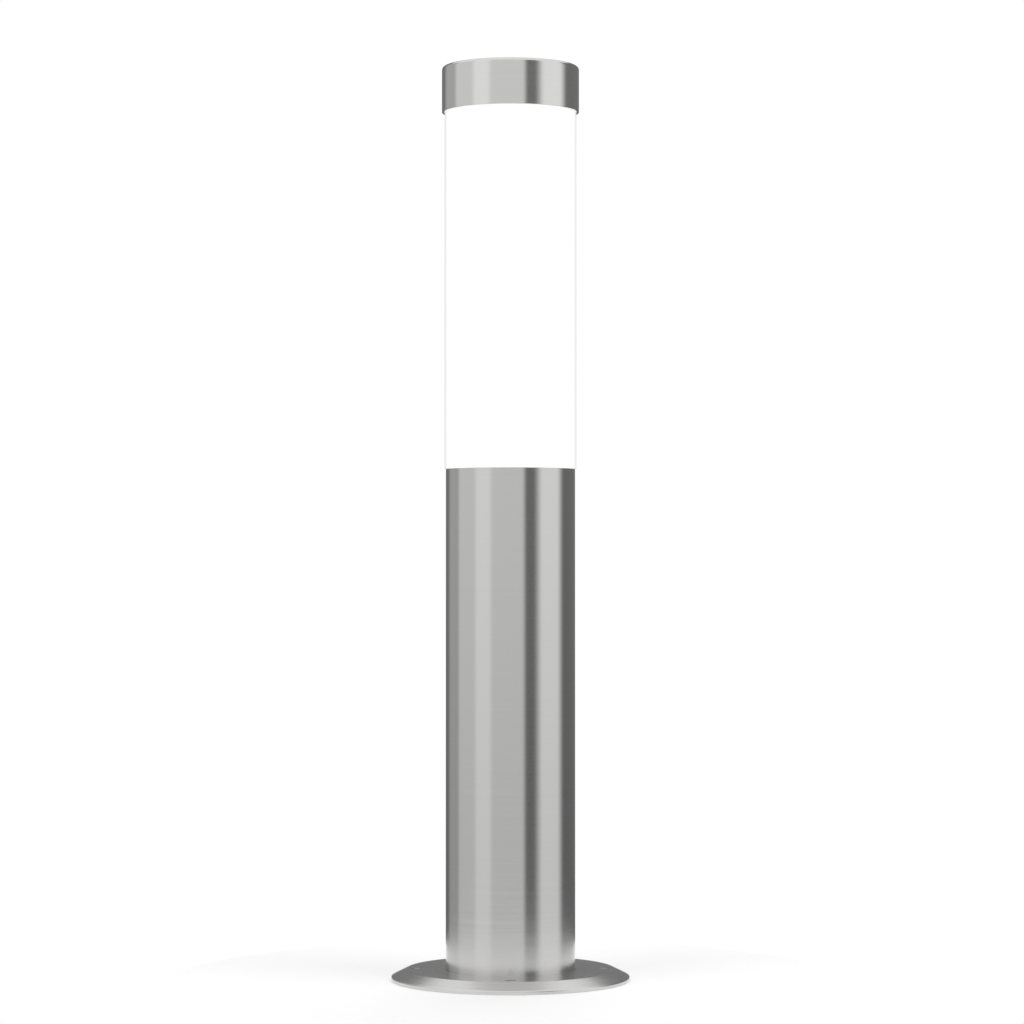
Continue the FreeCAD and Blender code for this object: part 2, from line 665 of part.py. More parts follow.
def cord_clamp():
    """The saddle that grips the supply cable against the strap."""
    low, high = SADDLE_Z, SADDLE_Z + SADDLE_HEIGHT
    bore_r = CABLE_D / 2
    arch_r = bore_r + SADDLE_WALL
    feet = block((-SADDLE_HALF, SADDLE_HALF), (STRAP_FACE_Y - SADDLE_FOOT, STRAP_FACE_Y), (low, high))
    arch = disc(arch_r, low, high, 0, CABLE_Y)
    arch = arch.common(block((-arch_r, arch_r), (CABLE_Y - arch_r, STRAP_FACE_Y), (low, high)))
    saddle = feet.fuse(arch).removeSplitter()
    saddle = saddle.cut(disc(bore_r, low - PAST, high + PAST, 0, CABLE_Y))
    saddle = saddle.cut(block((-bore_r, bore_r), (CABLE_Y, STRAP_FACE_Y + PAST), (low - PAST, high + PAST)))
    hole_r, middle = SADDLE_SCREW_D / 2 + SCREW_GAP, (low + high) / 2
    for x in saddle_screw_x():
        saddle = saddle.cut(level_rod(x, middle, hole_r, CABLE_Y - arch_r, STRAP_FACE_Y + PAST))
    return saddle


def cord_clamp_screws():
    """The saddle's two screws."""
    screw = pan_screw(SADDLE_SCREW_D, SADDLE_FOOT + TRAY_SHEET + THREAD_SHOWN)
    z = SADDLE_Z + SADDLE_HEIGHT / 2
    return [placed(screw, x, STRAP_FACE_Y - SADDLE_FOOT, z, V(0, -1, 0)) for x in saddle_screw_x()]


def earth_screw():
    """The earthing screw, through the ring terminal and the strap."""
    screw = pan_screw(EARTH_SCREW_D, EARTH_RING_THICK + TRAY_SHEET + EARTH_NUT_HEIGHT + THREAD_SHOWN)
    return placed(screw, EARTH_X, STRAP_FACE_Y - EARTH_RING_THICK, EARTH_Z, V(0, -1, 0))


def earth_nut():
    """The nut behind the strap."""
    one = nut(EARTH_NUT_AF, EARTH_SCREW_D / 2 + SCREW_GAP, 0, EARTH_NUT_HEIGHT)
    return placed(one, EARTH_X, STRAP_BACK_Y, EARTH_Z, V(0, 1, 0))


def earth_terminal():
    """The crimped ring terminal: a flat eye, and a barrel that holds the wire's end."""
    y = STRAP_FACE_Y - EARTH_RING_THICK
    eye = level_rod(EARTH_X, EARTH_Z, EARTH_RING_OD / 2, y, STRAP_FACE_Y)
    neck_z = (EARTH_Z - CRIMP_NECK / 2, EARTH_Z + CRIMP_NECK / 2)
    neck = block((EARTH_X, CRIMP_X + CRIMP_WALL), (y, STRAP_FACE_Y), neck_z)
    barrel = Part.makeCylinder(CRIMP_R, CRIMP_LENGTH, V(CRIMP_X, CRIMP_Y, EARTH_Z), V(1, 0, 0))
    made = eye.fuse([neck, barrel]).removeSplitter()
    made = made.cut(level_rod(EARTH_X, EARTH_Z, EARTH_SCREW_D / 2 + SCREW_GAP, y - PAST, STRAP_FACE_Y + PAST))
    bore_from = V(CRIMP_X + CRIMP_WALL, CRIMP_Y, EARTH_Z)
    return made.cut(Part.makeCylinder(WIRE_D / 2 + SCREW_GAP, CRIMP_LENGTH, bore_from, V(1, 0, 0)))


# ---- wires ---------------------------------------------------------------------------------------
def holder_wire(side):
    """A wire from an outer pole, up through the nipple, to the lamp holder's terminal."""
    pole = POLE_X[0] if side < 0 else POLE_X[-1]
    inner = side * (WIRE_D + SLIDE_GAP) / 2
    nipple_z = NIPPLE_TOP_Z - NIPPLE_LENGTH
    return wire(
        (pole, BARREL_Y, WIRE_END_Z),
        (pole, BARREL_Y, WIRE_END_Z + HOLDER_WIRE_STRAIGHT * (nipple_z - WIRE_END_Z)),
        (inner, 0, nipple_z - NIPPLE_LEAD),
        (inner, 0, nipple_z + NIPPLE_RUN),
        (side * HOLDER_WIRE_X, 0, INSERT_Z - SLIDE_GAP),
    )


def earth_wire():
    """The wire from the middle pole, round the block's side and down to the ring terminal."""
    outside = POLE_X[-1] + BLOCK_POLE_WIDTH / 2 + WIRE_D + EARTH_WIRE_STANDOFF
    return wire(
        (0, BARREL_Y, WIRE_END_Z),
        (0, BARREL_Y - 2, BLOCK_TOP_Z + 7),
        (9, BARREL_Y - 5, BLOCK_TOP_Z + 12),
        (outside - 2, BARREL_Y - 3, BLOCK_TOP_Z + 5),
        (outside, BARREL_Y, BLOCK_MID_Z + 1),
        (outside - 1, CRIMP_Y - 3, BLOCK_Z - 2),
        (outside - 5, CRIMP_Y, EARTH_Z),
        (CRIMP_X + CRIMP_WALL, CRIMP_Y, EARTH_Z),
    )


# ---- lamp holder ---------------------------------------------------------------------------------
def holder_nipple():
    """The hollow threaded nipple that the wires go up through."""
    return ring(NIPPLE_D / 2, NIPPLE_BORE / 2, NIPPLE_TOP_Z - NIPPLE_LENGTH, NIPPLE_TOP_Z)


def holder_washer():
    """The toothed lock washer under the plate."""
    return ring(HOLDER_WASHER_OD / 2, NIPPLE_D / 2 + BOND_GAP, TRAY_Z - HOLDER_WASHER_THICK, TRAY_Z)


def holder_nut():
    """The lock nut on the nipple."""
    top = TRAY_Z - HOLDER_WASHER_THICK
    return nut(HOLDER_NUT_AF, NIPPLE_D / 2 + SCREW_GAP, top - HOLDER_NUT_HEIGHT, top)


def holder_dome():
    """The holder's lower half: a boss on the nipple, and a cup that seats the ceramic insert."""
    bore = NIPPLE_D / 2 + SCREW_GAP
    boss = HOLDER_BOSS_OD / 2
    seat_r = INSERT_R + BOND_GAP
    well_r = INSERT_R - HOLDER_LEDGE
    spigot_r = HOLDER_R - HOLDER_WALL - BOND_GAP
    return lathe(
        (bore, TRAY_TOP_Z),
        (boss, TRAY_TOP_Z, HOLDER_EDGE),
        (boss, TRAY_TOP_Z + HOLDER_BOSS_HEIGHT, 3 * HOLDER_EDGE),
        (HOLDER_R, HOLDER_SEAM_Z - HOLDER_SHOULDER, 5 * HOLDER_EDGE),
        (HOLDER_R, HOLDER_SEAM_Z, HOLDER_EDGE),
        (spigot_r, HOLDER_SEAM_Z),
        (spigot_r, HOLDER_SEAM_Z + HOLDER_JOINT),
        (seat_r, HOLDER_SEAM_Z + HOLDER_JOINT),
        (seat_r, INSERT_Z),
        (well_r, INSERT_Z),
        (well_r, INSERT_Z - HOLDER_WELL, 2 * HOLDER_EDGE),
        (bore, NIPPLE_TOP_Z + HOLDER_EDGE),
    )


def holder_skirt():
    """The holder's upper half, grooved outside for grip, with a lip over the socket's mouth."""
    inner = HOLDER_R - HOLDER_WALL
    lip_r = SOCKET_R + SOCKET_SHEET + SOCKET_GAP
    lip_z = HOLDER_TOP_Z - HOLDER_LIP
    skirt = lathe(
        (inner, HOLDER_SEAM_Z),
        (HOLDER_R, HOLDER_SEAM_Z, HOLDER_EDGE),
        (HOLDER_R, HOLDER_TOP_Z, 2 * HOLDER_EDGE),
        (lip_r, HOLDER_TOP_Z, HOLDER_EDGE),
        (lip_r, lip_z),
        (inner, lip_z - HOLDER_LIP / 2),
    )
    groove_z = (HOLDER_SEAM_Z + HOLDER_LIP, HOLDER_TOP_Z - 2 * HOLDER_LIP)
    places = round_the_axis(HOLDER_R + GRIP_ROUND - GRIP_DEPTH, GRIP_COUNT)
    return skirt.cut([disc(GRIP_ROUND, *groove_z, x, y) for x, y in places])


def holder_insert():
    """The ceramic disc that carries the contacts, with a blind hole for each wire's terminal."""
    body = disc(INSERT_R, INSERT_Z, INSERT_TOP_Z)
    for x in (-HOLDER_WIRE_X, HOLDER_WIRE_X):
        body = body.cut(disc(WIRE_D / 2 + BOND_GAP, INSERT_Z - PAST, INSERT_Z + HOLDER_WIRE_HOLE, x, 0))
    return body


def holder_socket():
    """The metal sleeve that the lamp's cap screws into."""
    return ring(SOCKET_R + SOCKET_SHEET, SOCKET_R, INSERT_TOP_Z, INSERT_TOP_Z + SOCKET_LENGTH)


def holder_contact():
    """The springy centre contact: a strip bent up to lie flat under the lamp's tip."""
    half, t = CONTACT_WIDTH / 2, CONTACT_SHEET
    low, high = INSERT_TOP_Z, LAMP_TIP_Z
    pad = LAMP_TIP_D / 2 - CONTACT_INSET
    foot = pad + CONTACT_RAMP
    side = [
        (V(-CONTACT_REACH, -half, low), 0),
        (V(-foot, -half, low), t / 2),
        (V(-pad, -half, high - t), t / 2),
        (V(pad, -half, high - t), 0),
        (V(pad, -half, high), 0),
        (V(-pad - t / 2, -half, high), t / 2),
        (V(-foot - t / 2, -half, low + t), t / 2),
        (V(-CONTACT_REACH, -half, low + t), 0),
    ]
    return Part.Face(rounded_wire(side)).extrude(V(0, CONTACT_WIDTH, 0))


# ---- lamp ----------------------------------------------------------------------------------------
def lamp_tip():
    """The contact button at the lamp's foot."""
    r = LAMP_TIP_D / 2
    top = LAMP_INSULATOR_Z
    return lathe((0, LAMP_TIP_Z), (r, LAMP_TIP_Z, LAMP_TIP_THICK / 2), (r, top), (0, top))


def lamp_insulator():
    """The black insulator between the tip and the screw shell."""
    low, high = LAMP_INSULATOR_Z, LAMP_SHELL_Z
    foot, edge = LAMP_TIP_D / 2 + LAMP_INSULATOR_FOOT, LAMP_SHELL_R - LAMP_SHELL_TURN
    top = high + LAMP_INSULATOR_INSIDE
    return lathe((0, low), (foot, low), (edge, high), (edge, top), (0, top))


def lamp_shell():
    """The lamp's screw cap, a thin sleeve that is turned in over the insulator."""
    sheet = LAMP_SHELL_SHEET
    inner, turned_in = LAMP_SHELL_R - sheet, LAMP_SHELL_R - LAMP_SHELL_TURN
    corner_z = LAMP_SHELL_Z + LAMP_SHELL_TURN
    return lathe(
        (turned_in, LAMP_SHELL_Z),
        (LAMP_SHELL_R, corner_z),
        (LAMP_SHELL_R, LAMP_SHELL_TOP_Z),
        (inner, LAMP_SHELL_TOP_Z),
        (inner, corner_z + sheet / 2),
        (turned_in, LAMP_SHELL_Z + 1.4 * sheet),
    )


def lamp_housing():
    """The lamp's plastic body, which flares from the screw cap to the globe and has a ledge for the board."""
    wall, rounding = LAMP_HOUSING_WALL, LAMP_HOUSING_ROUND
    foot_r = LAMP_SHELL_R + LAMP_HOUSING_FOOT
    spigot_r = LAMP_SHELL_R - LAMP_SHELL_SHEET - SCREW_GAP
    bore_r = spigot_r - wall
    ledge_r = LED_BOARD_R - LED_BOARD_LEDGE
    waist_z = LAMP_HOUSING_Z + LAMP_HOUSING_WAIST
    brow_z = LAMP_SEAM_Z - LAMP_HOUSING_BROW
    return lathe(
        (bore_r, LAMP_HOUSING_Z - LAMP_HOUSING_SPIGOT),
        (spigot_r, LAMP_HOUSING_Z - LAMP_HOUSING_SPIGOT),
        (spigot_r, LAMP_HOUSING_Z),
        (foot_r, LAMP_HOUSING_Z, SOCKET_GAP),
        (foot_r + LAMP_HOUSING_DRAFT, waist_z, rounding),
        (LAMP_SEAM_R - LAMP_HOUSING_DRAFT, brow_z, rounding),
        (LAMP_SEAM_R, LAMP_SEAM_Z),
        (LED_BOARD_R, LAMP_SEAM_Z),
        (LED_BOARD_R, LED_BOARD_Z),
        (ledge_r, LED_BOARD_Z),
        (LAMP_SEAM_R - LAMP_HOUSING_DRAFT - 2 * wall, brow_z, rounding / 2),
        (bore_r, waist_z, rounding / 2),
    )


def lamp_globe():
    """The opal dome, a thin ball cut off at the housing's seam."""
    centre = V(0, 0, GLOBE_Z)
    ball = Part.makeSphere(GLOBE_R, centre).cut(Part.makeSphere(GLOBE_R - GLOBE_WALL, centre))
    return ball.cut(disc(GLOBE_R + PAST, GLOBE_Z - GLOBE_R - PAST, LAMP_SEAM_Z))


def led_board():
    """The aluminium board that the LEDs sit on, seated on the housing's ledge."""
    return disc(LED_BOARD_R - BOND_GAP, LED_BOARD_Z, LAMP_SEAM_Z)


def leds():
    """The ring of LED packages."""
    half = LED_SIZE / 2
    made = []
    for x, y in round_the_axis(LED_CIRCLE / 2, LED_COUNT):
        made.append(block((x - half, x + half), (y - half, y + half), (LAMP_SEAM_Z, LAMP_SEAM_Z + LED_THICK)))
    return made


def lamp_driver():
    """The driver board that stands under the LED board, with its capacitor and transformer."""
    half, face, top = DRIVER_WIDTH / 2, DRIVER_THICK / 2, LED_BOARD_Z
    middle = top - DRIVER_HEIGHT / 2
    board = block((-half, half), (-face, face), (top - DRIVER_HEIGHT, top))
    can_y = BOND_GAP - face - CAPACITOR_D / 2
    can = disc(CAPACITOR_D / 2, middle - CAPACITOR_D, middle + CAPACITOR_D, 0, can_y)
    core_span, core_y = (-TRANSFORMER / 2, TRANSFORMER / 2), (face, face + TRANSFORMER / 2)
    core = block(core_span, core_y, (middle, middle + TRANSFORMER))
    return board.fuse([can, core]).removeSplitter()


# ---- head ----------------------------------------------------------------------------------------
def opal_tube():
    """The diffuser: a straight opal tube that stands on the post's rim."""
    return lathe(
        (TUBE_BORE_R, POST_TOP_Z),
        (TUBE_R - TUBE_EDGE, POST_TOP_Z),
        (TUBE_R, POST_TOP_Z + TUBE_EDGE),
        (TUBE_R, TUBE_TOP_Z - TUBE_EDGE),
        (TUBE_R - TUBE_EDGE, TUBE_TOP_Z),
        (TUBE_BORE_R, TUBE_TOP_Z),
    )


def collar():
    """The moulded collar bonded inside the tube's foot, whose shoulder stands on the post."""
    skirt_in = COLLAR_R - COLLAR_SKIRT_WALL
    skirt_z = POST_TOP_Z + COLLAR_SKIRT
    shoulder_z = POST_TOP_Z + COLLAR_SHOULDER
    return lathe(
        (COLLAR_BORE_R, POST_TOP_Z),
        (COLLAR_R, POST_TOP_Z),
        (COLLAR_R, skirt_z, COLLAR_EDGE),
        (skirt_in, skirt_z, COLLAR_EDGE),
        (skirt_in, shoulder_z + skirt_in - COLLAR_BORE_R),
        (COLLAR_BORE_R, shoulder_z),
    )


def collar_spigot():
    """The metal sleeve under the collar. It plugs into the neck ring, and the lock screws bear on it."""
    return lathe(
        (COLLAR_BORE_R, COLLAR_END_Z),
        (SPIGOT_R, COLLAR_END_Z, COLLAR_EDGE),
        (SPIGOT_R, POST_TOP_Z),
        (COLLAR_BORE_R, POST_TOP_Z),
    )


def top_gasket():
    """The ring that seals the tube's upper end."""
    return ring(TUBE_R - BOND_GAP, TUBE_BORE_R + BOND_GAP, TUBE_TOP_Z, LINER_Z)


def cap_liner():
    """The white moulding in the cap: a reflector disc with a skirt that centres the tube."""
    skirt_out = TUBE_BORE_R - BOND_GAP
    skirt_in = skirt_out - LINER_SKIRT_WALL
    skirt_z = LINER_Z - LINER_SKIRT
    edge_r = CAP_IN_R - BOND_GAP
    stud_hole = STUD_D / 2 + BOND_GAP
    return lathe(
        (stud_hole, LINER_Z),
        (skirt_in, LINER_Z, LINER_EDGE),
        (skirt_in, skirt_z),
        (skirt_out, skirt_z, LINER_EDGE),
        (skirt_out, LINER_Z),
        (edge_r, LINER_Z),
        (edge_r, LINER_TOP_Z - CAP_ROUND / 2),
        (edge_r - CAP_ROUND / 2, LINER_TOP_Z),
        (stud_hole, LINER_TOP_Z),
    )


def cap_shell():
    """The drawn steel cap, with a soft upper edge and a lip that hangs over the tube."""
    lip_round = CAP_SHEET / 4
    return lathe(
        (0, CAP_TOP_Z),
        (CAP_R, CAP_TOP_Z, CAP_ROUND),
        (CAP_R, CAP_LIP_Z, lip_round),
        (CAP_IN_R, CAP_LIP_Z, lip_round),
        (CAP_IN_R, LINER_TOP_Z, CAP_ROUND - CAP_SHEET),
        (0, LINER_TOP_Z),
    )


def cap_stud():
    """The stud welded under the cap's top."""
    r, low, edge = STUD_D / 2, LINER_TOP_Z - STUD_LENGTH, STUD_D / 12
    return lathe((0, low), (r - edge, low), (r, low + edge), (r, LINER_TOP_Z), (0, LINER_TOP_Z))


def cap_washer():
    """The washer between the liner and the stud's nut."""
    return ring(STUD_WASHER_OD / 2, STUD_D / 2 + BOND_GAP, LINER_Z - STUD_WASHER_THICK, LINER_Z)


def cap_nut():
    """The nut that holds the liner up in the cap."""
    top = LINER_Z - STUD_WASHER_THICK
    return nut(STUD_NUT_AF, STUD_D / 2 + SCREW_GAP, top - STUD_NUT_HEIGHT, top)


# ---- the nodes -----------------------------------------------------------------------------------
NODES = {
    "base_flange": base_flange,
    "post_tube": post_tube,
    "base_weld": base_weld,
    "neck_ring": neck_ring,
    "head_gasket": head_gasket,
    "lock_screw_right": lambda: lock_screw(LOCK_SCREW_ANGLES[0]),
    "lock_screw_left": lambda: lock_screw(LOCK_SCREW_ANGLES[1]),
    "tray_plate": tray_plate,
    "tray_screws": tray_screws,
    "tray_strap": tray_strap,
    "strap_rivets": strap_rivets,
    "terminal_block": terminal_block,
    "terminal_barrels": terminal_barrels,
    "terminal_screws": terminal_screws,
    "block_screws": block_screws,
    "cord_clamp": cord_clamp,
    "cord_clamp_screws": cord_clamp_screws,
    "earth_screw": earth_screw,
    "earth_nut": earth_nut,
    "earth_terminal": earth_terminal,
    "wire_live": lambda: holder_wire(-1),
    "wire_neutral": lambda: holder_wire(1),
    "wire_earth": earth_wire,
    "holder_nipple": holder_nipple,
    "holder_washer": holder_washer,
    "holder_nut": holder_nut,
    "holder_dome": holder_dome,
    "holder_skirt": holder_skirt,
    "holder_insert": holder_insert,
    "holder_socket": holder_socket,
    "holder_contact": holder_contact,
    "lamp_tip": lamp_tip,
    "lamp_insulator": lamp_insulator,
    "lamp_shell": lamp_shell,
    "lamp_housing": lamp_housing,
    "lamp_globe": lamp_globe,
    "led_board": led_board,
    "leds": leds,
    "lamp_driver": lamp_driver,
    "opal_tube": opal_tube,
    "collar": collar,
    "collar_spigot": collar_spigot,
    "top_gasket": top_gasket,
    "cap_liner": cap_liner,
    "cap_shell": cap_shell,
    "cap_stud": cap_stud,
    "cap_washer": cap_washer,
    "cap_nut": cap_nut,
}


def main():
    os.makedirs("parts", exist_ok=True)
    for name, make in NODES.items():
        made = make()
        solids = [s for one in (made if isinstance(made, list) else [made]) for s in one.Solids]
        for solid in solids:
            if not solid.isValid() or solid.Volume <= 0:
                raise ValueError(f"{name} has a bad solid")
        shape = solids[0] if len(solids) == 1 else Part.makeCompound(solids)
        shape.exportStep(f"parts/{name}.step")
        print(f"{name}: {len(solids)} solid(s), {sum(s.Volume for s in solids) / 1000:.2f} cm3")


main()
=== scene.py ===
"""The looks of a lit bollard light: brushed steel post, flange and cap, opal tube, and the lamp inside it.

Each piece is a surface turned round the post's axis, placed from the frame's own boxes. Metres. +Z is up, the
ground is z = 0, and the lock screws are at +Y.
"""

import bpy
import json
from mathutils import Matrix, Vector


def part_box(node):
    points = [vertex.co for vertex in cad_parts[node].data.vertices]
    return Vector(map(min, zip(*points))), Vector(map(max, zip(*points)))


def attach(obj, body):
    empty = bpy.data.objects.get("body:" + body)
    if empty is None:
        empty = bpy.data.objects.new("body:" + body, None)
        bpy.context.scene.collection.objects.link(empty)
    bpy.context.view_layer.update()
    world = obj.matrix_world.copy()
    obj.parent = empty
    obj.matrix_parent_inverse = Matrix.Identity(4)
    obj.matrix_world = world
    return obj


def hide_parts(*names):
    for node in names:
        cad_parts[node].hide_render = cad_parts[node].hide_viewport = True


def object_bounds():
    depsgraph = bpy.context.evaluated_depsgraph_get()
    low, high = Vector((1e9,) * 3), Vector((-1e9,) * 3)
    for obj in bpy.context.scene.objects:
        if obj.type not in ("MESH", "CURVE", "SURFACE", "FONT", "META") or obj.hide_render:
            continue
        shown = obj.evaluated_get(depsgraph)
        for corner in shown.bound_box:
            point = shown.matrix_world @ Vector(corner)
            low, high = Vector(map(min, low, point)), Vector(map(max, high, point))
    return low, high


bl_info = {
    "name": "Bollard Light",
    "version": (1, 0, 0),
    "blender": (4, 5, 0),
    "location": "View3D > Sidebar > Bollard",
    "description": "Builds the visible surfaces, finishes and studio of a bollard light round its frame",
    "category": "Add Mesh",
}

import json
import math

import bmesh
import bpy
import numpy as np
from bpy.props import FloatProperty, FloatVectorProperty, IntProperty, PointerProperty
from mathutils import Vector

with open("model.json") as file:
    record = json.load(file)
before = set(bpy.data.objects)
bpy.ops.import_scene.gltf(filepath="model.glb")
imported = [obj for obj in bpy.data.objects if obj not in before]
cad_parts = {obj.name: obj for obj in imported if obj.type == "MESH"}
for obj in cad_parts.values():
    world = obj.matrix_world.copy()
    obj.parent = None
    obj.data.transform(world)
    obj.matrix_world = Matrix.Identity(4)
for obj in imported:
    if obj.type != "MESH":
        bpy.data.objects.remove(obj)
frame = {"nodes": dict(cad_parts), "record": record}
CAD_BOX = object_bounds()
MM = 0.001
SLOT_OF = {part["node"]: part["material_slot"] for part in frame["record"]["subparts"]}
SMOOTH_ANGLE = math.radians(30)
MERGE = 1e-7
ARC_POINTS = 7
GUARD = 0.12 * MM

# ---- sizes and counts that the boxes don't give --------------------------------------------------
FIT = 0.05 * MM
FINE_EDGE = 0.3 * MM
SOFT_EDGE = 0.6 * MM
POST_EDGE = 0.25 * MM
POST_LIP = 1 * MM
LOCK_HOLE_R = 2.05 * MM
LOCK_PATCH = 9.0 * MM
LOCK_CELLS = 10
FLANGE_SHEET = 1.5 * MM
SKIRT_SLOPE = math.radians(26)
RIM_FLAT = 1.1 * MM
RIM_ROUND = 1.0 * MM
RIM_EDGE = 0.4 * MM
CREASE_ROUND = 1.0 * MM
FIXING_HOLES = 4
FIXING_INSET = 6 * MM
FIXING_HOLE_R = 3.25 * MM
FIXING_PATCH_HALF = 4.4 * MM
FIXING_CELLS = 8
WELD_FINENESS = 3
WELD_STEPS = 8
WELD_RIPPLES = 90
WELD_RIPPLE = 0.10 * MM
CAP_SHEET = 1.2 * MM
CAP_ROUND = 2 * MM
CROWN_RINGS = 23
TUBE_WALL = 3 * MM
TUBE_EDGE = 0.4 * MM
SPIGOT_WALL = 2.2 * MM
COLLAR_WALL = 2.5 * MM
COLLAR_SHOULDER = 2.5 * MM
SEAL_EDGE = 0.35 * MM
LINER_SHEET = 2.5 * MM
LINER_WALL = 2.5 * MM
BOND_GAP = 0.1 * MM
DOME_WALL = 1.2 * MM
DOME_RINGS = 60
SLEEVE_SHEET = 0.4 * MM
SHELL_TURN = 1 * MM
THREAD_STEPS = 12
THREAD_START = 1.2 * MM
THREAD_END = 2.2 * MM
FOOT_FADE = 2 * MM
SOCKET_DEPTH_SHARE = 0.8
SEAL_WIDTHS = {"head_gasket": 2.9 * MM, "top_gasket": 2.8 * MM}

# ---- values that several finishes share ----------------------------------------------------------
GRAIN_ROUGHNESS = 0.55
WHITE = (1, 1, 1, 1)


# ---- places read from the frame ------------------------------------------------------------------
def low_z(node):
    """The height of a node's foot."""
    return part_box(node)[0].z


def top_z(node):
    """The height of a node's top."""
    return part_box(node)[1].z


def reach(node):
    """The radius of a round node, as the nearest side of its box, so that nothing stands outside it."""
    low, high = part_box(node)
    return min(-low.x, high.x, -low.y, high.y)


# ---- outlines ------------------------------------------------------------------------------------
def corner_arc(before, corner, after, rounding):
    """The points of the arc that rounds a corner: centre plus radius times a direction that turns evenly
    from one side's normal to the other's, with a guard point on each side of it."""
    before, corner, after = (np.array(p, float) for p in (before, corner, after))
    to_a, to_b = before - corner, after - corner
    long_a, long_b = np.linalg.norm(to_a), np.linalg.norm(to_b)
    to_a, to_b = to_a / long_a, to_b / long_b
    half = math.acos(np.clip(to_a @ to_b, -1, 1)) / 2
    cut = min(rounding / math.tan(half), 0.45 * long_a, 0.45 * long_b)
    radius = cut * math.tan(half)
    middle = to_a + to_b
    centre = corner + middle / np.linalg.norm(middle) * radius / math.sin(half)
    start, end = corner + to_a * cut - centre, corner + to_b * cut - centre
    first = math.atan2(start[1], start[0])
    turn = (math.atan2(end[1], end[0]) - first + math.pi) % (2 * math.pi) - math.pi
    angle = first + turn * np.linspace(0, 1, ARC_POINTS)
    arc = centre + radius * np.stack([np.cos(angle), np.sin(angle)], 1)
    lead_in, lead_out = corner + to_a * (cut + GUARD), corner + to_b * (cut + GUARD)
    return np.vstack([lead_in, arc, lead_out])


def outline(*corners, closed=True):
    """A cross-section as (radius, height) rows. A corner with a third number is rounded by that radius."""
    rows, count = [], len(corners)
    for i, corner in enumerate(corners):
        inside = closed or 0 < i < count - 1
        if len(corner) == 3 and corner[2] > 0 and inside:
            rows.append(corner_arc(corners[i - 1][:2], corner[:2], corners[(i + 1) % count][:2], corner[2]))
        else:
            rows.append(np.array([corner[:2]], float))
    return np.vstack(rows)


def wall(outer, inner, low, high, edge):
    """The outline of a plain ring with softened edges."""
    return outline((inner, low, edge), (outer, low, edge), (outer, high, edge), (inner, high, edge))


# ---- meshes --------------------------------------------------------------------------------------
def grid_faces(rows, columns, closed_rows, keep=None):
    """The quads of a grid that closes on itself along its columns, and along its rows if asked."""
    last = rows if closed_rows else rows - 1
    i, j = np.meshgrid(np.arange(last), np.arange(columns), indexing="ij")
    k, m = (i + 1) % rows, (j + 1) % columns
    quads = np.stack([i * columns + j, i * columns + m, k * columns + m, k * columns + j], -1)
    return quads.reshape(-1, 4) if keep is None else quads[keep[:last]]


def build(name, verts, faces, like, material):
    """A piece from points and faces: merged at seams and poles, faced outward, smooth but for its edges."""
    mesh = bpy.data.meshes.new(name)
    mesh.from_pydata(np.asarray(verts).tolist(), [], [list(f) for f in np.asarray(faces).tolist()])
    work = bmesh.new()
    work.from_mesh(mesh)
    bmesh.ops.remove_doubles(work, verts=work.verts, dist=MERGE)
    bmesh.ops.dissolve_degenerate(work, edges=work.edges, dist=MERGE)
    bmesh.ops.recalc_face_normals(work, faces=work.faces)
    work.to_mesh(mesh)
    work.free()
    mesh.shade_smooth()
    mesh.set_sharp_from_angle(angle=SMOOTH_ANGLE)
    piece = bpy.data.objects.new(name, mesh)
    bpy.context.scene.collection.objects.link(piece)
    mesh.materials.append(material)
    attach(piece, body_of(like))
    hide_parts(like)
    return piece


def body_of(node):
    """The name of the body that a node belongs to."""
    for body, nodes in frame["record"]["behaviour"]["bodies"].items():
        if node in nodes:
            return body
    raise RuntimeError(f"no body holds {node}")


def turn(rows, segments, closed=True):
    """Carries each outline point round the axis: x = r cos a, y = r sin a, z = z, for even steps of a."""
    angle = np.linspace(0, 2 * math.pi, segments, endpoint=False)
    radius, height = rows[:, :1], rows[:, 1:]
    verts = np.stack([radius * np.cos(angle), radius * np.sin(angle), height + 0 * angle], -1)
    return verts.reshape(-1, 3), grid_faces(len(rows), segments, closed)


def turned(name, rows, like, material, segments, closed=True):
    """A piece turned from an outline."""
    verts, faces = turn(rows, segments, closed)
    return build(name, verts, faces, like, material)


# ---- walls with round holes ----------------------------------------------------------------------
def rim_of_patch(rows, columns):
    """The (row, column) steps round the edge of a rectangle of cells, anticlockwise from its first corner."""
    along, up = np.arange(columns), np.arange(rows)
    return np.concatenate([
        np.stack([0 * along, along], 1),
        np.stack([up, 0 * up + columns], 1),
        np.stack([0 * along + rows, columns - along], 1),
        np.stack([rows - up, 0 * up], 1),
    ])


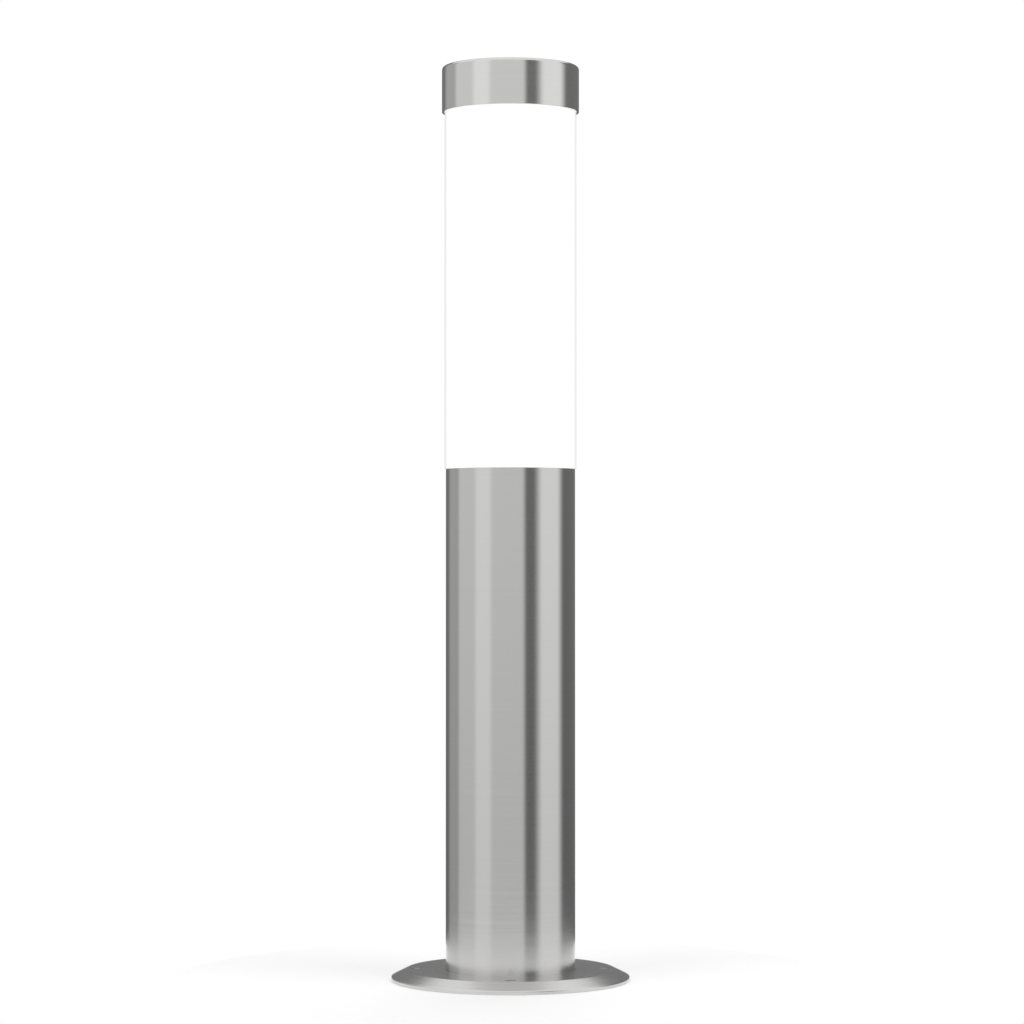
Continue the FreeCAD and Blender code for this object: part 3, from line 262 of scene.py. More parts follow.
def pierced(rows, segments, patches, settle):
    """A turned surface with round holes through its wall.

    rows is the outline. Each patch is (outer row, inner row, rows across, first column, columns across,
    centre, axis, side, up, radius). The outer row is on the outer skin and the inner row on the inner one.
    Inside a patch the grid's cells are left out, and loops run from its edge to the hole's circle, each
    point a straight blend of edge and circle that settle(points, axis, skin) puts back on that skin. The two
    circles are joined by the hole's own wall.
    """
    verts, _ = turn(rows, segments)
    keep = np.ones((len(rows), segments), bool)
    loops, faces, count = [verts], [], len(verts)
    for outer_row, inner_row, span, column, columns, centre, axis, side, up, radius in patches:
        rings = []
        for skin, first in (("outer", outer_row), ("inner", inner_row)):
            steps = rim_of_patch(span, columns)
            cells = np.ix_(np.arange(first, first + span), (column + np.arange(columns)) % segments)
            keep[cells] = False
            edge = (first + steps[:, 0]) * segments + (column + steps[:, 1]) % segments
            offset = verts[edge] - centre
            flat = np.stack([offset @ side, offset @ up], 1)
            circle = flat / np.linalg.norm(flat, axis=1, keepdims=True) * radius
            previous = edge
            for share in np.linspace(0, 1, 5)[1:]:
                spot = flat * (1 - share) + circle * share
                ring = settle(centre + spot[:, :1] * side + spot[:, 1:] * up, axis, skin)
                index = count + np.arange(len(ring))
                loops.append(ring)
                count += len(ring)
                following, past = np.roll(previous, -1), np.roll(index, -1)
                faces.append(np.stack([previous, following, past, index], 1))
                previous = index
            rings.append((flat, previous))
        (flat_a, ring_a), (flat_b, ring_b) = rings
        nearest = np.argmin(((flat_a[:, None] - flat_b[None]) ** 2).sum(-1), 1)
        partner = ring_b[nearest]
        faces.append(np.stack([ring_a, np.roll(ring_a, -1), np.roll(partner, -1), partner], 1))
    faces.append(grid_faces(len(rows), segments, True, keep))
    return np.vstack(loops), np.vstack(faces)


# ---- finishes ------------------------------------------------------------------------------------
def shader(name, colour, metallic, roughness):
    """A new material and its main shader, with the values that are the same all over set on it."""
    material = bpy.data.materials.new(name)
    material.use_nodes = True
    main = material.node_tree.nodes["Principled BSDF"]
    main.inputs["Base Color"].default_value = (*colour, 1)
    main.inputs["Metallic"].default_value = metallic
    main.inputs["Roughness"].default_value = roughness
    return material, main


def add(material, kind, **values):
    """A new node of that kind, with its settings and then its inputs set by name."""
    node = material.node_tree.nodes.new(kind)
    for key, value in values.items():
        if hasattr(node, key):
            setattr(node, key, value)
        else:
            node.inputs[key.replace("_", " ").title()].default_value = value
    return node


def link(material, start, end):
    """Joins one socket to another."""
    material.node_tree.links.new(start, end)


def grain(material, scale, detail=4.0):
    """Noise on the piece's own coordinates, stretched by scale (x, y, z), in cycles a metre."""
    where = add(material, "ShaderNodeTexCoord")
    stretch = add(material, "ShaderNodeMapping")
    stretch.inputs["Scale"].default_value = scale
    noise = add(material, "ShaderNodeTexNoise", Scale=1.0, Detail=detail, Roughness=GRAIN_ROUGHNESS)
    link(material, where.outputs["Object"], stretch.inputs["Vector"])
    link(material, stretch.outputs["Vector"], noise.inputs["Vector"])
    return noise.outputs["Fac"]


def spread(material, main, factor, colour, change, rough, rough_change, height):
    """Lets a pattern vary the colour and the gloss about their middle values, and raise a fine relief."""
    tint = add(material, "ShaderNodeMix", data_type="RGBA")
    tint.inputs[6].default_value = (*(c * (1 - change) for c in colour), 1)
    tint.inputs[7].default_value = (*(min(c * (1 + change), 1) for c in colour), 1)
    gloss = add(material, "ShaderNodeMapRange")
    gloss.inputs["To Min"].default_value = max(rough - rough_change, 0.02)
    gloss.inputs["To Max"].default_value = min(rough + rough_change, 1)
    relief = add(material, "ShaderNodeBump")
    relief.inputs["Strength"].default_value = 1.0
    relief.inputs["Distance"].default_value = height
    link(material, factor, tint.inputs[0])
    link(material, factor, gloss.inputs["Value"])
    link(material, factor, relief.inputs["Height"])
    link(material, tint.outputs[2], main.inputs["Base Color"])
    link(material, gloss.outputs["Result"], main.inputs["Roughness"])
    link(material, relief.outputs["Normal"], main.inputs["Normal"])


def brush_lines(material, density):
    """Noise stretched round the axis: it runs fast in height and radius, and slowly round the piece."""
    where = add(material, "ShaderNodeTexCoord")
    split = add(material, "ShaderNodeSeparateXYZ")
    radius = add(material, "ShaderNodeVectorMath", operation="LENGTH")
    flat = add(material, "ShaderNodeVectorMath", operation="MULTIPLY")
    flat.inputs[1].default_value = (1, 1, 0)
    fast_r = add(material, "ShaderNodeMath", operation="MULTIPLY")
    fast_z = add(material, "ShaderNodeMath", operation="MULTIPLY")
    fast_r.inputs[1].default_value = fast_z.inputs[1].default_value = density
    slow = add(material, "ShaderNodeVectorMath", operation="SCALE")
    slow.inputs["Scale"].default_value = 14.0
    joined = add(material, "ShaderNodeCombineXYZ")
    total = add(material, "ShaderNodeVectorMath", operation="ADD")
    noise = add(material, "ShaderNodeTexNoise", Scale=1.0, Detail=3.0, Roughness=0.6)
    for start, end in (
        (where.outputs["Object"], split.inputs[0]),
        (where.outputs["Object"], flat.inputs[0]),
        (flat.outputs[0], radius.inputs[0]),
        (flat.outputs[0], slow.inputs[0]),
        (radius.outputs["Value"], fast_r.inputs[0]),
        (split.outputs["Z"], fast_z.inputs[0]),
        (fast_r.outputs[0], joined.inputs["X"]),
        (fast_z.outputs[0], joined.inputs["Z"]),
        (joined.outputs[0], total.inputs[0]),
        (slow.outputs[0], total.inputs[1]),
        (total.outputs[0], noise.inputs["Vector"]),
    ):
        link(material, start, end)
    return noise.outputs["Fac"]


def brushed_steel(steel, name="brushed_stainless", lift=1.0, draw=1.0, dull=1.0):
    """Stainless steel brushed round the axis, so that what it mirrors is drawn out up and down. lift scales
    up this piece's steel colour as painted light, standing in for the extra light that the piece catches,
    draw is how much of the brushing it shows, and dull how much rougher it is."""
    # painted light: the steel colour is made brighter by lift
    colour = tuple(c * lift for c in steel.colour)
    roughness = steel.roughness * dull
    material, main = shader(name, colour, 1.0, roughness)
    main.inputs["Anisotropic"].default_value = steel.anisotropy * draw
    main.inputs["Anisotropic Rotation"].default_value = 0.25
    where = add(material, "ShaderNodeTexCoord")
    round_axis = add(material, "ShaderNodeVectorMath", operation="CROSS_PRODUCT")
    round_axis.inputs[0].default_value = (0, 0, 1)
    link(material, where.outputs["Object"], round_axis.inputs[1])
    link(material, round_axis.outputs[0], main.inputs["Tangent"])
    lines = brush_lines(material, steel.line_density)
    spread(material, main, lines, colour, 0.05, roughness, 0.05, steel.line_depth)
    return material


def opal(shell):
    """Opal plastic that glows evenly, under a clear glossy skin."""
    material, main = shader("opal_diffuser", shell.body_colour, 0.0, 0.35)
    main.inputs["Emission Color"].default_value = WHITE
    main.inputs["Emission Strength"].default_value = shell.glow
    main.inputs["Coat Weight"].default_value = shell.coat
    main.inputs["Coat Roughness"].default_value = 0.04
    cloud = grain(material, (9, 9, 5), 2.0)
    spread(material, main, cloud, shell.body_colour, 0.02, 0.35, 0.04, 2e-6)
    glow = add(material, "ShaderNodeMapRange")
    glow.inputs["To Min"].default_value = shell.glow * 0.99
    glow.inputs["To Max"].default_value = shell.glow * 1.01
    link(material, cloud, glow.inputs["Value"])
    link(material, glow.outputs["Result"], main.inputs["Emission Strength"])
    return material


# Each plain finish: colour, metallic, roughness, grain in cycles a metre, colour and gloss change, relief.
FINISHES = {
    "weld_bead": ((0.42, 0.39, 0.36), 1.0, 0.42, (900, 900, 900), 0.16, 0.10, 3e-5),
    "turned_aluminium": ((0.74, 0.75, 0.76), 1.0, 0.30, (60, 60, 5200), 0.05, 0.06, 6e-6),
    "seal_rubber": ((0.022, 0.022, 0.023), 0.0, 0.72, (1500, 1500, 1500), 0.20, 0.10, 2e-5),
    "stainless_screw": ((0.60, 0.59, 0.57), 1.0, 0.26, (2400, 2400, 2400), 0.06, 0.08, 3e-6),
    "zinc_sheet": ((0.60, 0.62, 0.64), 1.0, 0.38, (260, 260, 260), 0.12, 0.12, 4e-6),
    "zinc_screw": ((0.66, 0.66, 0.63), 1.0, 0.30, (1800, 1800, 1800), 0.08, 0.08, 4e-6),
    "rivet_aluminium": ((0.72, 0.73, 0.74), 1.0, 0.34, (1600, 1600, 1600), 0.06, 0.08, 4e-6),
    "terminal_plastic": ((0.78, 0.76, 0.70), 0.0, 0.46, (900, 900, 900), 0.03, 0.06, 8e-6),
    "contact_brass": ((0.72, 0.52, 0.25), 1.0, 0.28, (1400, 1400, 1400), 0.10, 0.10, 4e-6),
    "tinned_copper": ((0.70, 0.69, 0.66), 1.0, 0.36, (1200, 1200, 1200), 0.08, 0.10, 4e-6),
    "black_nylon": ((0.020, 0.020, 0.021), 0.0, 0.50, (1100, 1100, 1100), 0.15, 0.08, 1e-5),
    "wire_brown": ((0.17, 0.070, 0.030), 0.0, 0.42, (700, 700, 700), 0.07, 0.06, 6e-6),
    "wire_blue": ((0.020, 0.090, 0.40), 0.0, 0.42, (700, 700, 700), 0.07, 0.06, 6e-6),
    "holder_black": ((0.018, 0.018, 0.019), 0.0, 0.33, (1300, 1300, 1300), 0.14, 0.07, 8e-6),
    "holder_ceramic": ((0.80, 0.78, 0.73), 0.0, 0.24, (420, 420, 420), 0.03, 0.05, 1e-5),
    "nickel_sheet": ((0.66, 0.63, 0.58), 1.0, 0.24, (900, 900, 900), 0.06, 0.08, 3e-6),
    "lamp_black_glass": ((0.012, 0.012, 0.016), 0.0, 0.10, (300, 300, 300), 0.20, 0.04, 4e-6),
    "lamp_white_plastic": ((0.82, 0.82, 0.80), 0.0, 0.38, (900, 900, 900), 0.02, 0.06, 8e-6),
    "board_white": ((0.80, 0.80, 0.78), 0.0, 0.44, (700, 700, 700), 0.03, 0.06, 5e-6),
    "led_yellow": ((0.80, 0.58, 0.08), 0.0, 0.34, (1500, 1500, 1500), 0.06, 0.06, 4e-6),
    "board_green": ((0.030, 0.16, 0.060), 0.0, 0.36, (1000, 1000, 1000), 0.12, 0.08, 8e-6),
    "collar_white": ((0.80, 0.80, 0.78), 0.0, 0.40, (800, 800, 800), 0.02, 0.06, 8e-6),
    "liner_white": ((0.80, 0.80, 0.78), 0.0, 0.42, (800, 800, 800), 0.02, 0.06, 8e-6),
}


def plain_finish(slot):
    """The finish of one material slot, with its own grain."""
    if slot in bpy.data.materials:
        return bpy.data.materials[slot]
    colour, metallic, rough, scale, change, rough_change, relief = FINISHES[slot]
    material, main = shader(slot, colour, metallic, rough)
    spread(material, main, grain(material, scale), colour, change, rough, rough_change, relief)
    return material


def earth_stripes():
    """Green and yellow insulation in bands across the wire, with a moulded grain."""
    material, main = shader("wire_green_yellow", (0.1, 0.35, 0.05), 0.0, 0.42)
    where = add(material, "ShaderNodeTexCoord")
    wave = add(material, "ShaderNodeTexWave", Scale=55.0, Distortion=0.0)
    wave.bands_direction = "DIAGONAL"
    ramp = add(material, "ShaderNodeValToRGB")
    ramp.color_ramp.interpolation = "CONSTANT"
    ramp.color_ramp.elements[0].color = (0.055, 0.26, 0.045, 1)
    ramp.color_ramp.elements[1].position = 0.62
    ramp.color_ramp.elements[1].color = (0.72, 0.60, 0.03, 1)
    link(material, where.outputs["Object"], wave.inputs["Vector"])
    link(material, wave.outputs["Fac"], ramp.inputs["Fac"])
    link(material, ramp.outputs["Color"], main.inputs["Base Color"])
    relief = add(material, "ShaderNodeBump")
    relief.inputs["Distance"].default_value = 6e-6
    link(material, grain(material, (700, 700, 700)), relief.inputs["Height"])
    link(material, relief.outputs["Normal"], main.inputs["Normal"])
    return material


def lamp_glow(lamp):
    """The lamp's own opal dome, a warm white whose glow is faintly clouded."""
    material, main = shader("lamp_opal", (0.85, 0.84, 0.80), 0.0, 0.30)
    main.inputs["Emission Color"].default_value = (*lamp.glow_colour, 1)
    cloud = grain(material, (30, 30, 30), 2.0)
    spread(material, main, cloud, (0.85, 0.84, 0.80), 0.02, 0.30, 0.05, 4e-6)
    glow = add(material, "ShaderNodeMapRange")
    glow.inputs["To Min"].default_value = lamp.glow * 0.95
    glow.inputs["To Max"].default_value = lamp.glow * 1.05
    link(material, cloud, glow.inputs["Value"])
    link(material, glow.outputs["Result"], main.inputs["Emission Strength"])
    return material


# ---- sizes and colours a user would change -------------------------------------------------------

class BollardSteel(bpy.types.PropertyGroup):
    """The brushed steel of the post, the flange and the cap."""

    colour: FloatVectorProperty(
        name="Colour", description="Colour of the bare steel", subtype="COLOR", size=3, min=0, max=1,
        default=(0.612, 0.609, 0.603),
    )
    roughness: FloatProperty(
        name="Roughness", description="How dull the steel is", default=0.17, min=0, max=1
    )
    anisotropy: FloatProperty(
        name="Brushing", description="How far reflections are drawn out", default=0.86, min=0, max=1
    )
    line_density: FloatProperty(
        name="Line Density", description="Brush lines in a metre", default=3200.0, min=1.0
    )
    line_depth: FloatProperty(
        name="Line Depth", description="Depth of a brush line", default=1.2e-6, unit="LENGTH", precision=7
    )
    # Painted light: the flange gets a brighter copy of the steel colour, standing in for the extra light that
    # falls on it
    flange_painted_light: FloatProperty(
        name="Flange Brightness", description="How much brighter the flange's steel is",
        default=1.1, min=0.5, max=1.5,
    )
    flange_draw: FloatProperty(
        name="Flange Brushing", description="Share of the brushing that the flange shows",
        default=0.35, min=0, max=1,
    )
    flange_dull: FloatProperty(
        name="Flange Dullness", description="How much duller the flange is than the post",
        default=1.7, min=0.5, max=4,
    )
    # Painted light: the cap gets a brighter copy of the steel colour, standing in for the extra light that
    # falls on it
    cap_painted_light: FloatProperty(
        name="Cap Brightness", description="How much brighter the cap's steel is",
        default=1.1, min=0.5, max=1.5,
    )


class BollardShell(bpy.types.PropertyGroup):
    """How round the turned pieces are, and the opal tube."""

    segments: IntProperty(name="Segments", description="Steps round a large piece", default=240, min=24)
    small_segments: IntProperty(
        name="Small Segments", description="Steps round a small piece", default=96, min=24
    )
    body_colour: FloatVectorProperty(
        name="Opal Colour", description="Colour of the unlit opal", subtype="COLOR", size=3, min=0, max=1,
        default=(0.80, 0.80, 0.80),
    )
    glow: FloatProperty(name="Glow", description="Light given off by the opal tube", default=0.58, min=0)
    coat: FloatProperty(
        name="Skin", description="Strength of the opal's glossy skin", default=0.6, min=0, max=1
    )


class BollardLamp(bpy.types.PropertyGroup):
    """The lamp and its screw thread."""

    pitch: FloatProperty(name="Pitch", description="Rise of one thread turn", default=0.00362, unit="LENGTH")
    thread_depth: FloatProperty(
        name="Thread Depth", description="Crest to root of the rolled thread", default=0.0005, unit="LENGTH",
        precision=5,
    )
    glow: FloatProperty(name="Glow", description="Light given off by the lamp's dome", default=0.25, min=0)
    glow_colour: FloatVectorProperty(
        name="Glow Colour", description="Colour of the lamp's light", subtype="COLOR", size=3, min=0, max=1,
        default=(1.0, 0.93, 0.82),
    )


class BollardStudio(bpy.types.PropertyGroup):
    """The floor, the lamps and the camera."""

    floor_radius: FloatProperty(
        name="Floor Radius", description="Radius of the floor", default=0.20, unit="LENGTH"
    )
    floor_lift: FloatProperty(
        name="Floor Lift", description="What the lit floor still needs to read as white",
        default=0.31, min=0, max=1,
    )
    flag_radius: FloatProperty(name="Flag Radius", description="Object to flags", default=4.0, unit="LENGTH")
    flag_height: FloatProperty(
        name="Flag Height", description="Flags above and below the ground", default=3.1, unit="LENGTH"
    )
    lamp_power: FloatProperty(name="Lamp Power", description="Power of each soft lamp", default=9.0, min=0)
    sky: FloatProperty(name="Sky", description="Plain light that falls from all round", default=0.55, min=0)
    distance: FloatProperty(name="Distance", description="Camera to post", default=1.935, unit="LENGTH")
    eye_height: FloatProperty(
        name="Eye Height", description="Camera above ground", default=0.248, unit="LENGTH"
    )
    eye_shift: FloatProperty(
        name="Eye Shift", description="Camera to the right", default=0.0009, unit="LENGTH"
    )
    lens: FloatProperty(name="Lens", description="Focal length in millimetres", default=115.6, min=10)
    tilt: FloatProperty(
        name="Tilt", description="How far the camera looks up", default=math.radians(0.79), subtype="ANGLE"
    )


# ---- pieces --------------------------------------------------------------------------------------
def post_surface(shell):
    """The post: a tube of even wall, with a round hole through it for each lock screw."""
    low, high, outer = low_z("post_tube"), top_z("post_tube"), reach("post_tube")
    inner, edge, cells = reach("neck_ring") + FIT, POST_EDGE, LOCK_CELLS
    mid = (low_z("lock_screw_right") + top_z("lock_screw_right")) / 2
    levels = mid + np.linspace(-LOCK_PATCH / 2, LOCK_PATCH / 2, cells + 1)
    below_top, above_foot = high - POST_LIP, low + POST_LIP
    rows = np.vstack([
        outline((outer, below_top), (outer, high, edge), (inner, high, edge), (inner, below_top),
                closed=False),
        np.stack([np.full(cells + 1, inner), levels[::-1]], 1),
        outline((inner, above_foot), (inner, low, edge), (outer, low, edge), (outer, above_foot),
                closed=False),
        np.stack([np.full(cells + 1, outer), levels], 1),
    ])
    heads = len(rows) - cells - 1
    inner_first = int(np.argmax((rows[:, 0] == inner) & np.isclose(rows[:, 1], levels[-1])))
    patches = []
    for node in ("lock_screw_right", "lock_screw_left"):
        box_low, box_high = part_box(node)
        angle = math.atan2((box_low.y + box_high.y) / 2, (box_low.x + box_high.x) / 2)
        axis = np.array([math.cos(angle), math.sin(angle), 0])
        side, up = np.array([-axis[1], axis[0], 0]), np.array([0.0, 0, 1])
        column = round(angle / (2 * math.pi) * shell.segments) - cells // 2
        centre = np.array([0, 0, mid])
        patches.append((heads, inner_first, cells, column, cells, centre, axis, side, up, LOCK_HOLE_R))

    def settle(points, axis, skin):
        """Puts a point back on the tube: its offset across the axis stays, and its depth is the circle's."""
        radius = outer if skin == "outer" else inner
        side = np.array([-axis[1], axis[0], 0])
        across = (points @ side)[:, None]
        depth = np.sqrt(radius**2 - across**2)
        return depth * axis + across * side + points[:, 2:] * np.array([0, 0, 1])

    return rows, patches, settle


def flange_rows():
    """The flange's cross-section, a flat ring, a sloping skirt and a rim it stands on, and its patch rows."""
    outer, high, bore = reach("base_flange"), top_z("base_flange"), reach("post_tube") + FIT
    sheet, slope, rim_flat = FLANGE_SHEET, SKIRT_SLOPE, RIM_FLAT
    rim = sheet / math.cos(slope) + rim_flat * math.tan(slope)
    crease = outer - (high - rim) / math.tan(slope)
    under, under_crease = high - sheet, crease - sheet * math.tan(slope / 2)
    toe, crease_round = outer - 2 * rim_flat, CREASE_ROUND + sheet
    cells, hole = FIXING_CELLS, crease - FIXING_INSET
    radii = hole + np.linspace(-FIXING_PATCH_HALF, FIXING_PATCH_HALF, cells + 1)
    rows = np.vstack([
        np.stack([radii, np.full(cells + 1, high)], 1),
        outline((radii[-1], high), (crease, high, crease_round), (outer, rim, RIM_ROUND),
                (outer, 0, RIM_EDGE), (toe, 0, FINE_EDGE), (under_crease, under, CREASE_ROUND),
                (radii[-1], under), closed=False)[1:-1],
        np.stack([radii[::-1], np.full(cells + 1, under)], 1),
        outline((radii[0], under), (bore, under), (bore, high, FINE_EDGE), (radii[0], high),
                closed=False)[1:-1],
    ])
    inner_first = int(np.flatnonzero((rows[:, 0] == radii[-1]) & (rows[:, 1] == under))[-1])
    return rows, cells, hole, high, under, inner_first


def thread(z, angle, pitch, low, high):
    """A rolled thread between 0 and 1: half of one plus cos(2 pi z / pitch - angle), faded at both ends."""
    fade = np.clip(np.minimum(z - low, high - z) / pitch, 0, 1)
    fade = fade * fade * (3 - 2 * fade)
    return fade * (0.5 + 0.5 * np.cos(2 * math.pi * z / pitch - angle))


def threaded_sleeve(node, foot, lamp, segments, inward):
    """A thin screwed sleeve. Its skin is r = outer - depth x (1 - thread) for the lamp's shell, which keeps
    inside its plain radius, or r = bore + depth x thread for the socket, which keeps outside its own."""
    outer, sheet, low, high = reach(node), SLEEVE_SHEET, low_z(node), top_z(node)
    heights = np.linspace(low, high, int((high - low) / lamp.pitch * THREAD_STEPS))
    angle = np.linspace(0, 2 * math.pi, segments, endpoint=False)
    z, a = np.meshgrid(heights, angle, indexing="ij")
    wave = thread(z, a, lamp.pitch, low + THREAD_START, high - THREAD_END)
    lift = -lamp.thread_depth * (1 - wave) if inward else lamp.thread_depth * SOCKET_DEPTH_SHARE * wave
    if inward:
        fade = np.clip((z - low) / FOOT_FADE, 0, 1)
        lift = lift * fade - foot * (1 - fade)
    skin_out, skin_in = outer + lift, outer + lift - sheet
    loops = [np.stack([r * np.cos(a), r * np.sin(a), z], -1) for r in (skin_out, skin_in)]
    verts = np.concatenate([loops[0], loops[1][::-1]]).reshape(-1, 3)
    return verts, grid_faces(2 * len(heights), segments, True)


def weld_surface(segments):
    """The weld bead under the flange: a fillet whose face swells by a fine even ripple round the axis."""
    low, high = low_z("base_weld"), top_z("base_weld")
    outer, inner = reach("base_weld"), reach("post_tube") + FIT
    rows = outline((inner, low), (inner, high), (outer, high))
    share = np.linspace(0, 1, WELD_STEPS + 1)[1:-1]
    face = np.stack([outer + (inner - outer) * share, high + (low - high) * share], 1)
    rows = np.vstack([rows, face])
    verts, faces = turn(rows, segments)
    grid = verts.reshape(len(rows), segments, 3)
    angle = np.linspace(0, 2 * math.pi, segments, endpoint=False)
    swell = WELD_RIPPLE * (0.5 + 0.5 * np.cos(WELD_RIPPLES * angle))
    ripple = swell[None, :] * np.sin(math.pi * share)[:, None]
    inward = grid[3:, :, :2] / np.linalg.norm(grid[3:, :, :2], axis=-1, keepdims=True)
    grid[3:, :, :2] -= inward * ripple[..., None]
    grid[3:, :, 2] += ripple
    return verts, faces


# ---- operators -----------------------------------------------------------------------------------
class BOLLARD_OT_post(bpy.types.Operator):
    """Build the post and give it its brushed finish"""

    bl_idname = "bollard.post"
    bl_label = "Post"

    def execute(self, context):
        shell, steel = context.scene.bollard_shell, context.scene.bollard_steel
        rows, patches, settle = post_surface(shell)
        verts, faces = pierced(rows, shell.segments, patches, settle)
        build("post", verts, faces, "post_tube", brushed_steel(steel))
        return {"FINISHED"}


class BOLLARD_OT_flange(bpy.types.Operator):
    """Build the base flange with its four fixing holes, and the weld under it"""

    bl_idname = "bollard.flange"
    bl_label = "Flange"

    def execute(self, context):
        shell, steel = context.scene.bollard_shell, context.scene.bollard_steel
        rows, cells, hole, high, under, inner_row = flange_rows()
        apart = shell.segments // FIXING_HOLES
        patches = []
        for i in range(FIXING_HOLES):
            angle = i * 2 * math.pi / FIXING_HOLES
            side = np.array([math.cos(angle), math.sin(angle), 0])
            up = np.array([-side[1], side[0], 0])
            column = i * apart - cells // 2
            patches.append((0, inner_row, cells, column, cells, hole * side, None, side, up, FIXING_HOLE_R))

        def settle(points, axis, skin):
            """Puts a point back on the flat ring's top or underside."""
            points = points.copy()
            points[:, 2] = high if skin == "outer" else under
            return points

        # The flange's steel takes a brighter colour as painted light, and a duller, less brushed gloss
        material = brushed_steel(
            steel, "brushed_stainless_flange", steel.flange_painted_light, steel.flange_draw, steel.flange_dull
        )
        verts, faces = pierced(rows, shell.segments, patches, settle)
        build("flange", verts, faces, "base_flange", material)
        verts, faces = weld_surface(WELD_FINENESS * shell.segments)
        build("weld", verts, faces, "base_weld", plain_finish("weld_bead"))
        return {"FINISHED"}


class BOLLARD_OT_cap(bpy.types.Operator):
    """Build the cap, a drawn steel shell with a soft upper edge"""

    bl_idname = "bollard.cap"
    bl_label = "Cap"

    def execute(self, context):
        shell, steel = context.scene.bollard_shell, context.scene.bollard_steel
        low, high, outer = low_z("cap_shell"), top_z("cap_shell"), reach("cap_shell")
        inner, under = outer - CAP_SHEET, high - CAP_SHEET
        rows = outline((0, high), (outer, high, CAP_ROUND), (outer, low, FINE_EDGE), (inner, low, FINE_EDGE),
                       (inner, under, CAP_ROUND - CAP_SHEET), (0, under), closed=False)
        crown = np.linspace(0, outer - 2 * CAP_ROUND, CROWN_RINGS + 1)[1:]
        ceiling = crown[::-1] - CAP_ROUND / 2
        ceiling = ceiling[ceiling > 0]
        rows = np.vstack([
            rows[:1], np.stack([crown, np.full(len(crown), high)], 1), rows[1:-1],
            np.stack([ceiling, np.full(len(ceiling), under)], 1), rows[-1:],
        ])
        # The cap's steel takes a brighter colour as painted light
        material = brushed_steel(steel, "brushed_stainless_cap", steel.cap_painted_light)
        turned("cap", rows, "cap_shell", material, shell.segments, closed=False)
        return {"FINISHED"}


class BOLLARD_OT_head(bpy.types.Operator):
    """Build the opal tube, the collar's ring in its foot, and the seals above and below them"""

    bl_idname = "bollard.head"
    bl_label = "Head"

    def execute(self, context):
        shell = context.scene.bollard_shell
        low, high, outer = low_z("opal_tube"), top_z("opal_tube"), reach("opal_tube")
        rows = wall(outer, outer - TUBE_WALL, low, high, TUBE_EDGE)
        turned("opal", rows, "opal_tube", opal(shell), shell.segments)
        rim, skirt_top, skirt = low_z("collar"), top_z("collar"), reach("collar")
        inner, skirt_inner = reach("collar_spigot") - SPIGOT_WALL, skirt - COLLAR_WALL
        shoulder = rim + COLLAR_SHOULDER
        slope_top = shoulder + skirt_inner - inner
        rows = outline((inner, rim), (skirt, rim, FINE_EDGE), (skirt, skirt_top, SOFT_EDGE),
                       (skirt_inner, skirt_top, SOFT_EDGE), (skirt_inner, slope_top, SOFT_EDGE),
                       (inner, shoulder, FINE_EDGE))
        turned("collar_ring", rows, "collar", plain_finish("collar_white"), shell.segments)
        for node, width in SEAL_WIDTHS.items():
            rows = wall(reach(node), reach(node) - width, low_z(node), top_z(node), SEAL_EDGE)
            turned(node + "_seal", rows, node, plain_finish("seal_rubber"), shell.segments)
        return {"FINISHED"}


class BOLLARD_OT_liner(bpy.types.Operator):
    """Build the white liner that sits in the cap and centres the tube"""

    bl_idname = "bollard.liner"
    bl_label = "Cap Liner"

    def execute(self, context):
        low, high, outer = low_z("cap_liner"), top_z("cap_liner"), reach("cap_liner")
        skirt, under = reach("opal_tube") - TUBE_WALL - BOND_GAP, high - LINER_SHEET
        bore, inner = reach("cap_stud") + BOND_GAP, skirt - LINER_WALL
        rows = outline((bore, high), (outer, high, SOFT_EDGE), (outer, under, FINE_EDGE),
                       (skirt, under, FINE_EDGE), (skirt, low, SOFT_EDGE), (inner, low, SOFT_EDGE),
                       (inner, under, SOFT_EDGE), (bore, under))
        turned("liner", rows, "cap_liner", plain_finish("liner_white"), context.scene.bollard_shell.segments)
        return {"FINISHED"}


class BOLLARD_OT_lamp(bpy.types.Operator):
    """Build the lamp's dome, and the rolled threads of its shell and of the socket round it"""

    bl_idname = "bollard.lamp"
    bl_label = "Lamp"

    def execute(self, context):
        scene = context.scene
        lamp, segments = scene.bollard_lamp, scene.bollard_shell.small_segments
        outer, top, foot = reach("lamp_globe"), top_z("lamp_globe"), low_z("lamp_globe")
        centre = top - outer
        skins = []
        for radius in (outer, outer - DOME_WALL):
            rise = np.linspace(math.pi / 2, math.asin((foot - centre) / radius), DOME_RINGS)
            skins.append(np.stack([radius * np.cos(rise), centre + radius * np.sin(rise)], 1))
            skins[-1][0, 0] = 0
        rows = np.vstack([skins[0], skins[1][::-1]])
        turned("lamp_dome", rows, "lamp_globe", lamp_glow(lamp), 2 * segments, closed=False)
        metal = plain_finish("nickel_sheet")
        verts, faces = threaded_sleeve("lamp_shell", SHELL_TURN, lamp, segments, True)
        build("lamp_screw_shell", verts, faces, "lamp_shell", metal)
        verts, faces = threaded_sleeve("holder_socket", 0, lamp, segments, False)
        build("socket_sleeve", verts, faces, "holder_socket", metal)
        return {"FINISHED"}


class BOLLARD_OT_hardware(bpy.types.Operator):
    """Give every piece that the frame already shapes rightly its own finish"""

    bl_idname = "bollard.hardware"
    bl_label = "Hardware"

    def execute(self, context):
        for node, piece in frame["nodes"].items():
            if piece.hide_render:
                continue
            slot = SLOT_OF[node]
            material = bpy.data.materials.get(slot) or (
                earth_stripes() if slot == "wire_green_yellow" else plain_finish(slot)
            )
            for place in piece.material_slots:
                place.link = "OBJECT"
                place.material = material
        return {"FINISHED"}


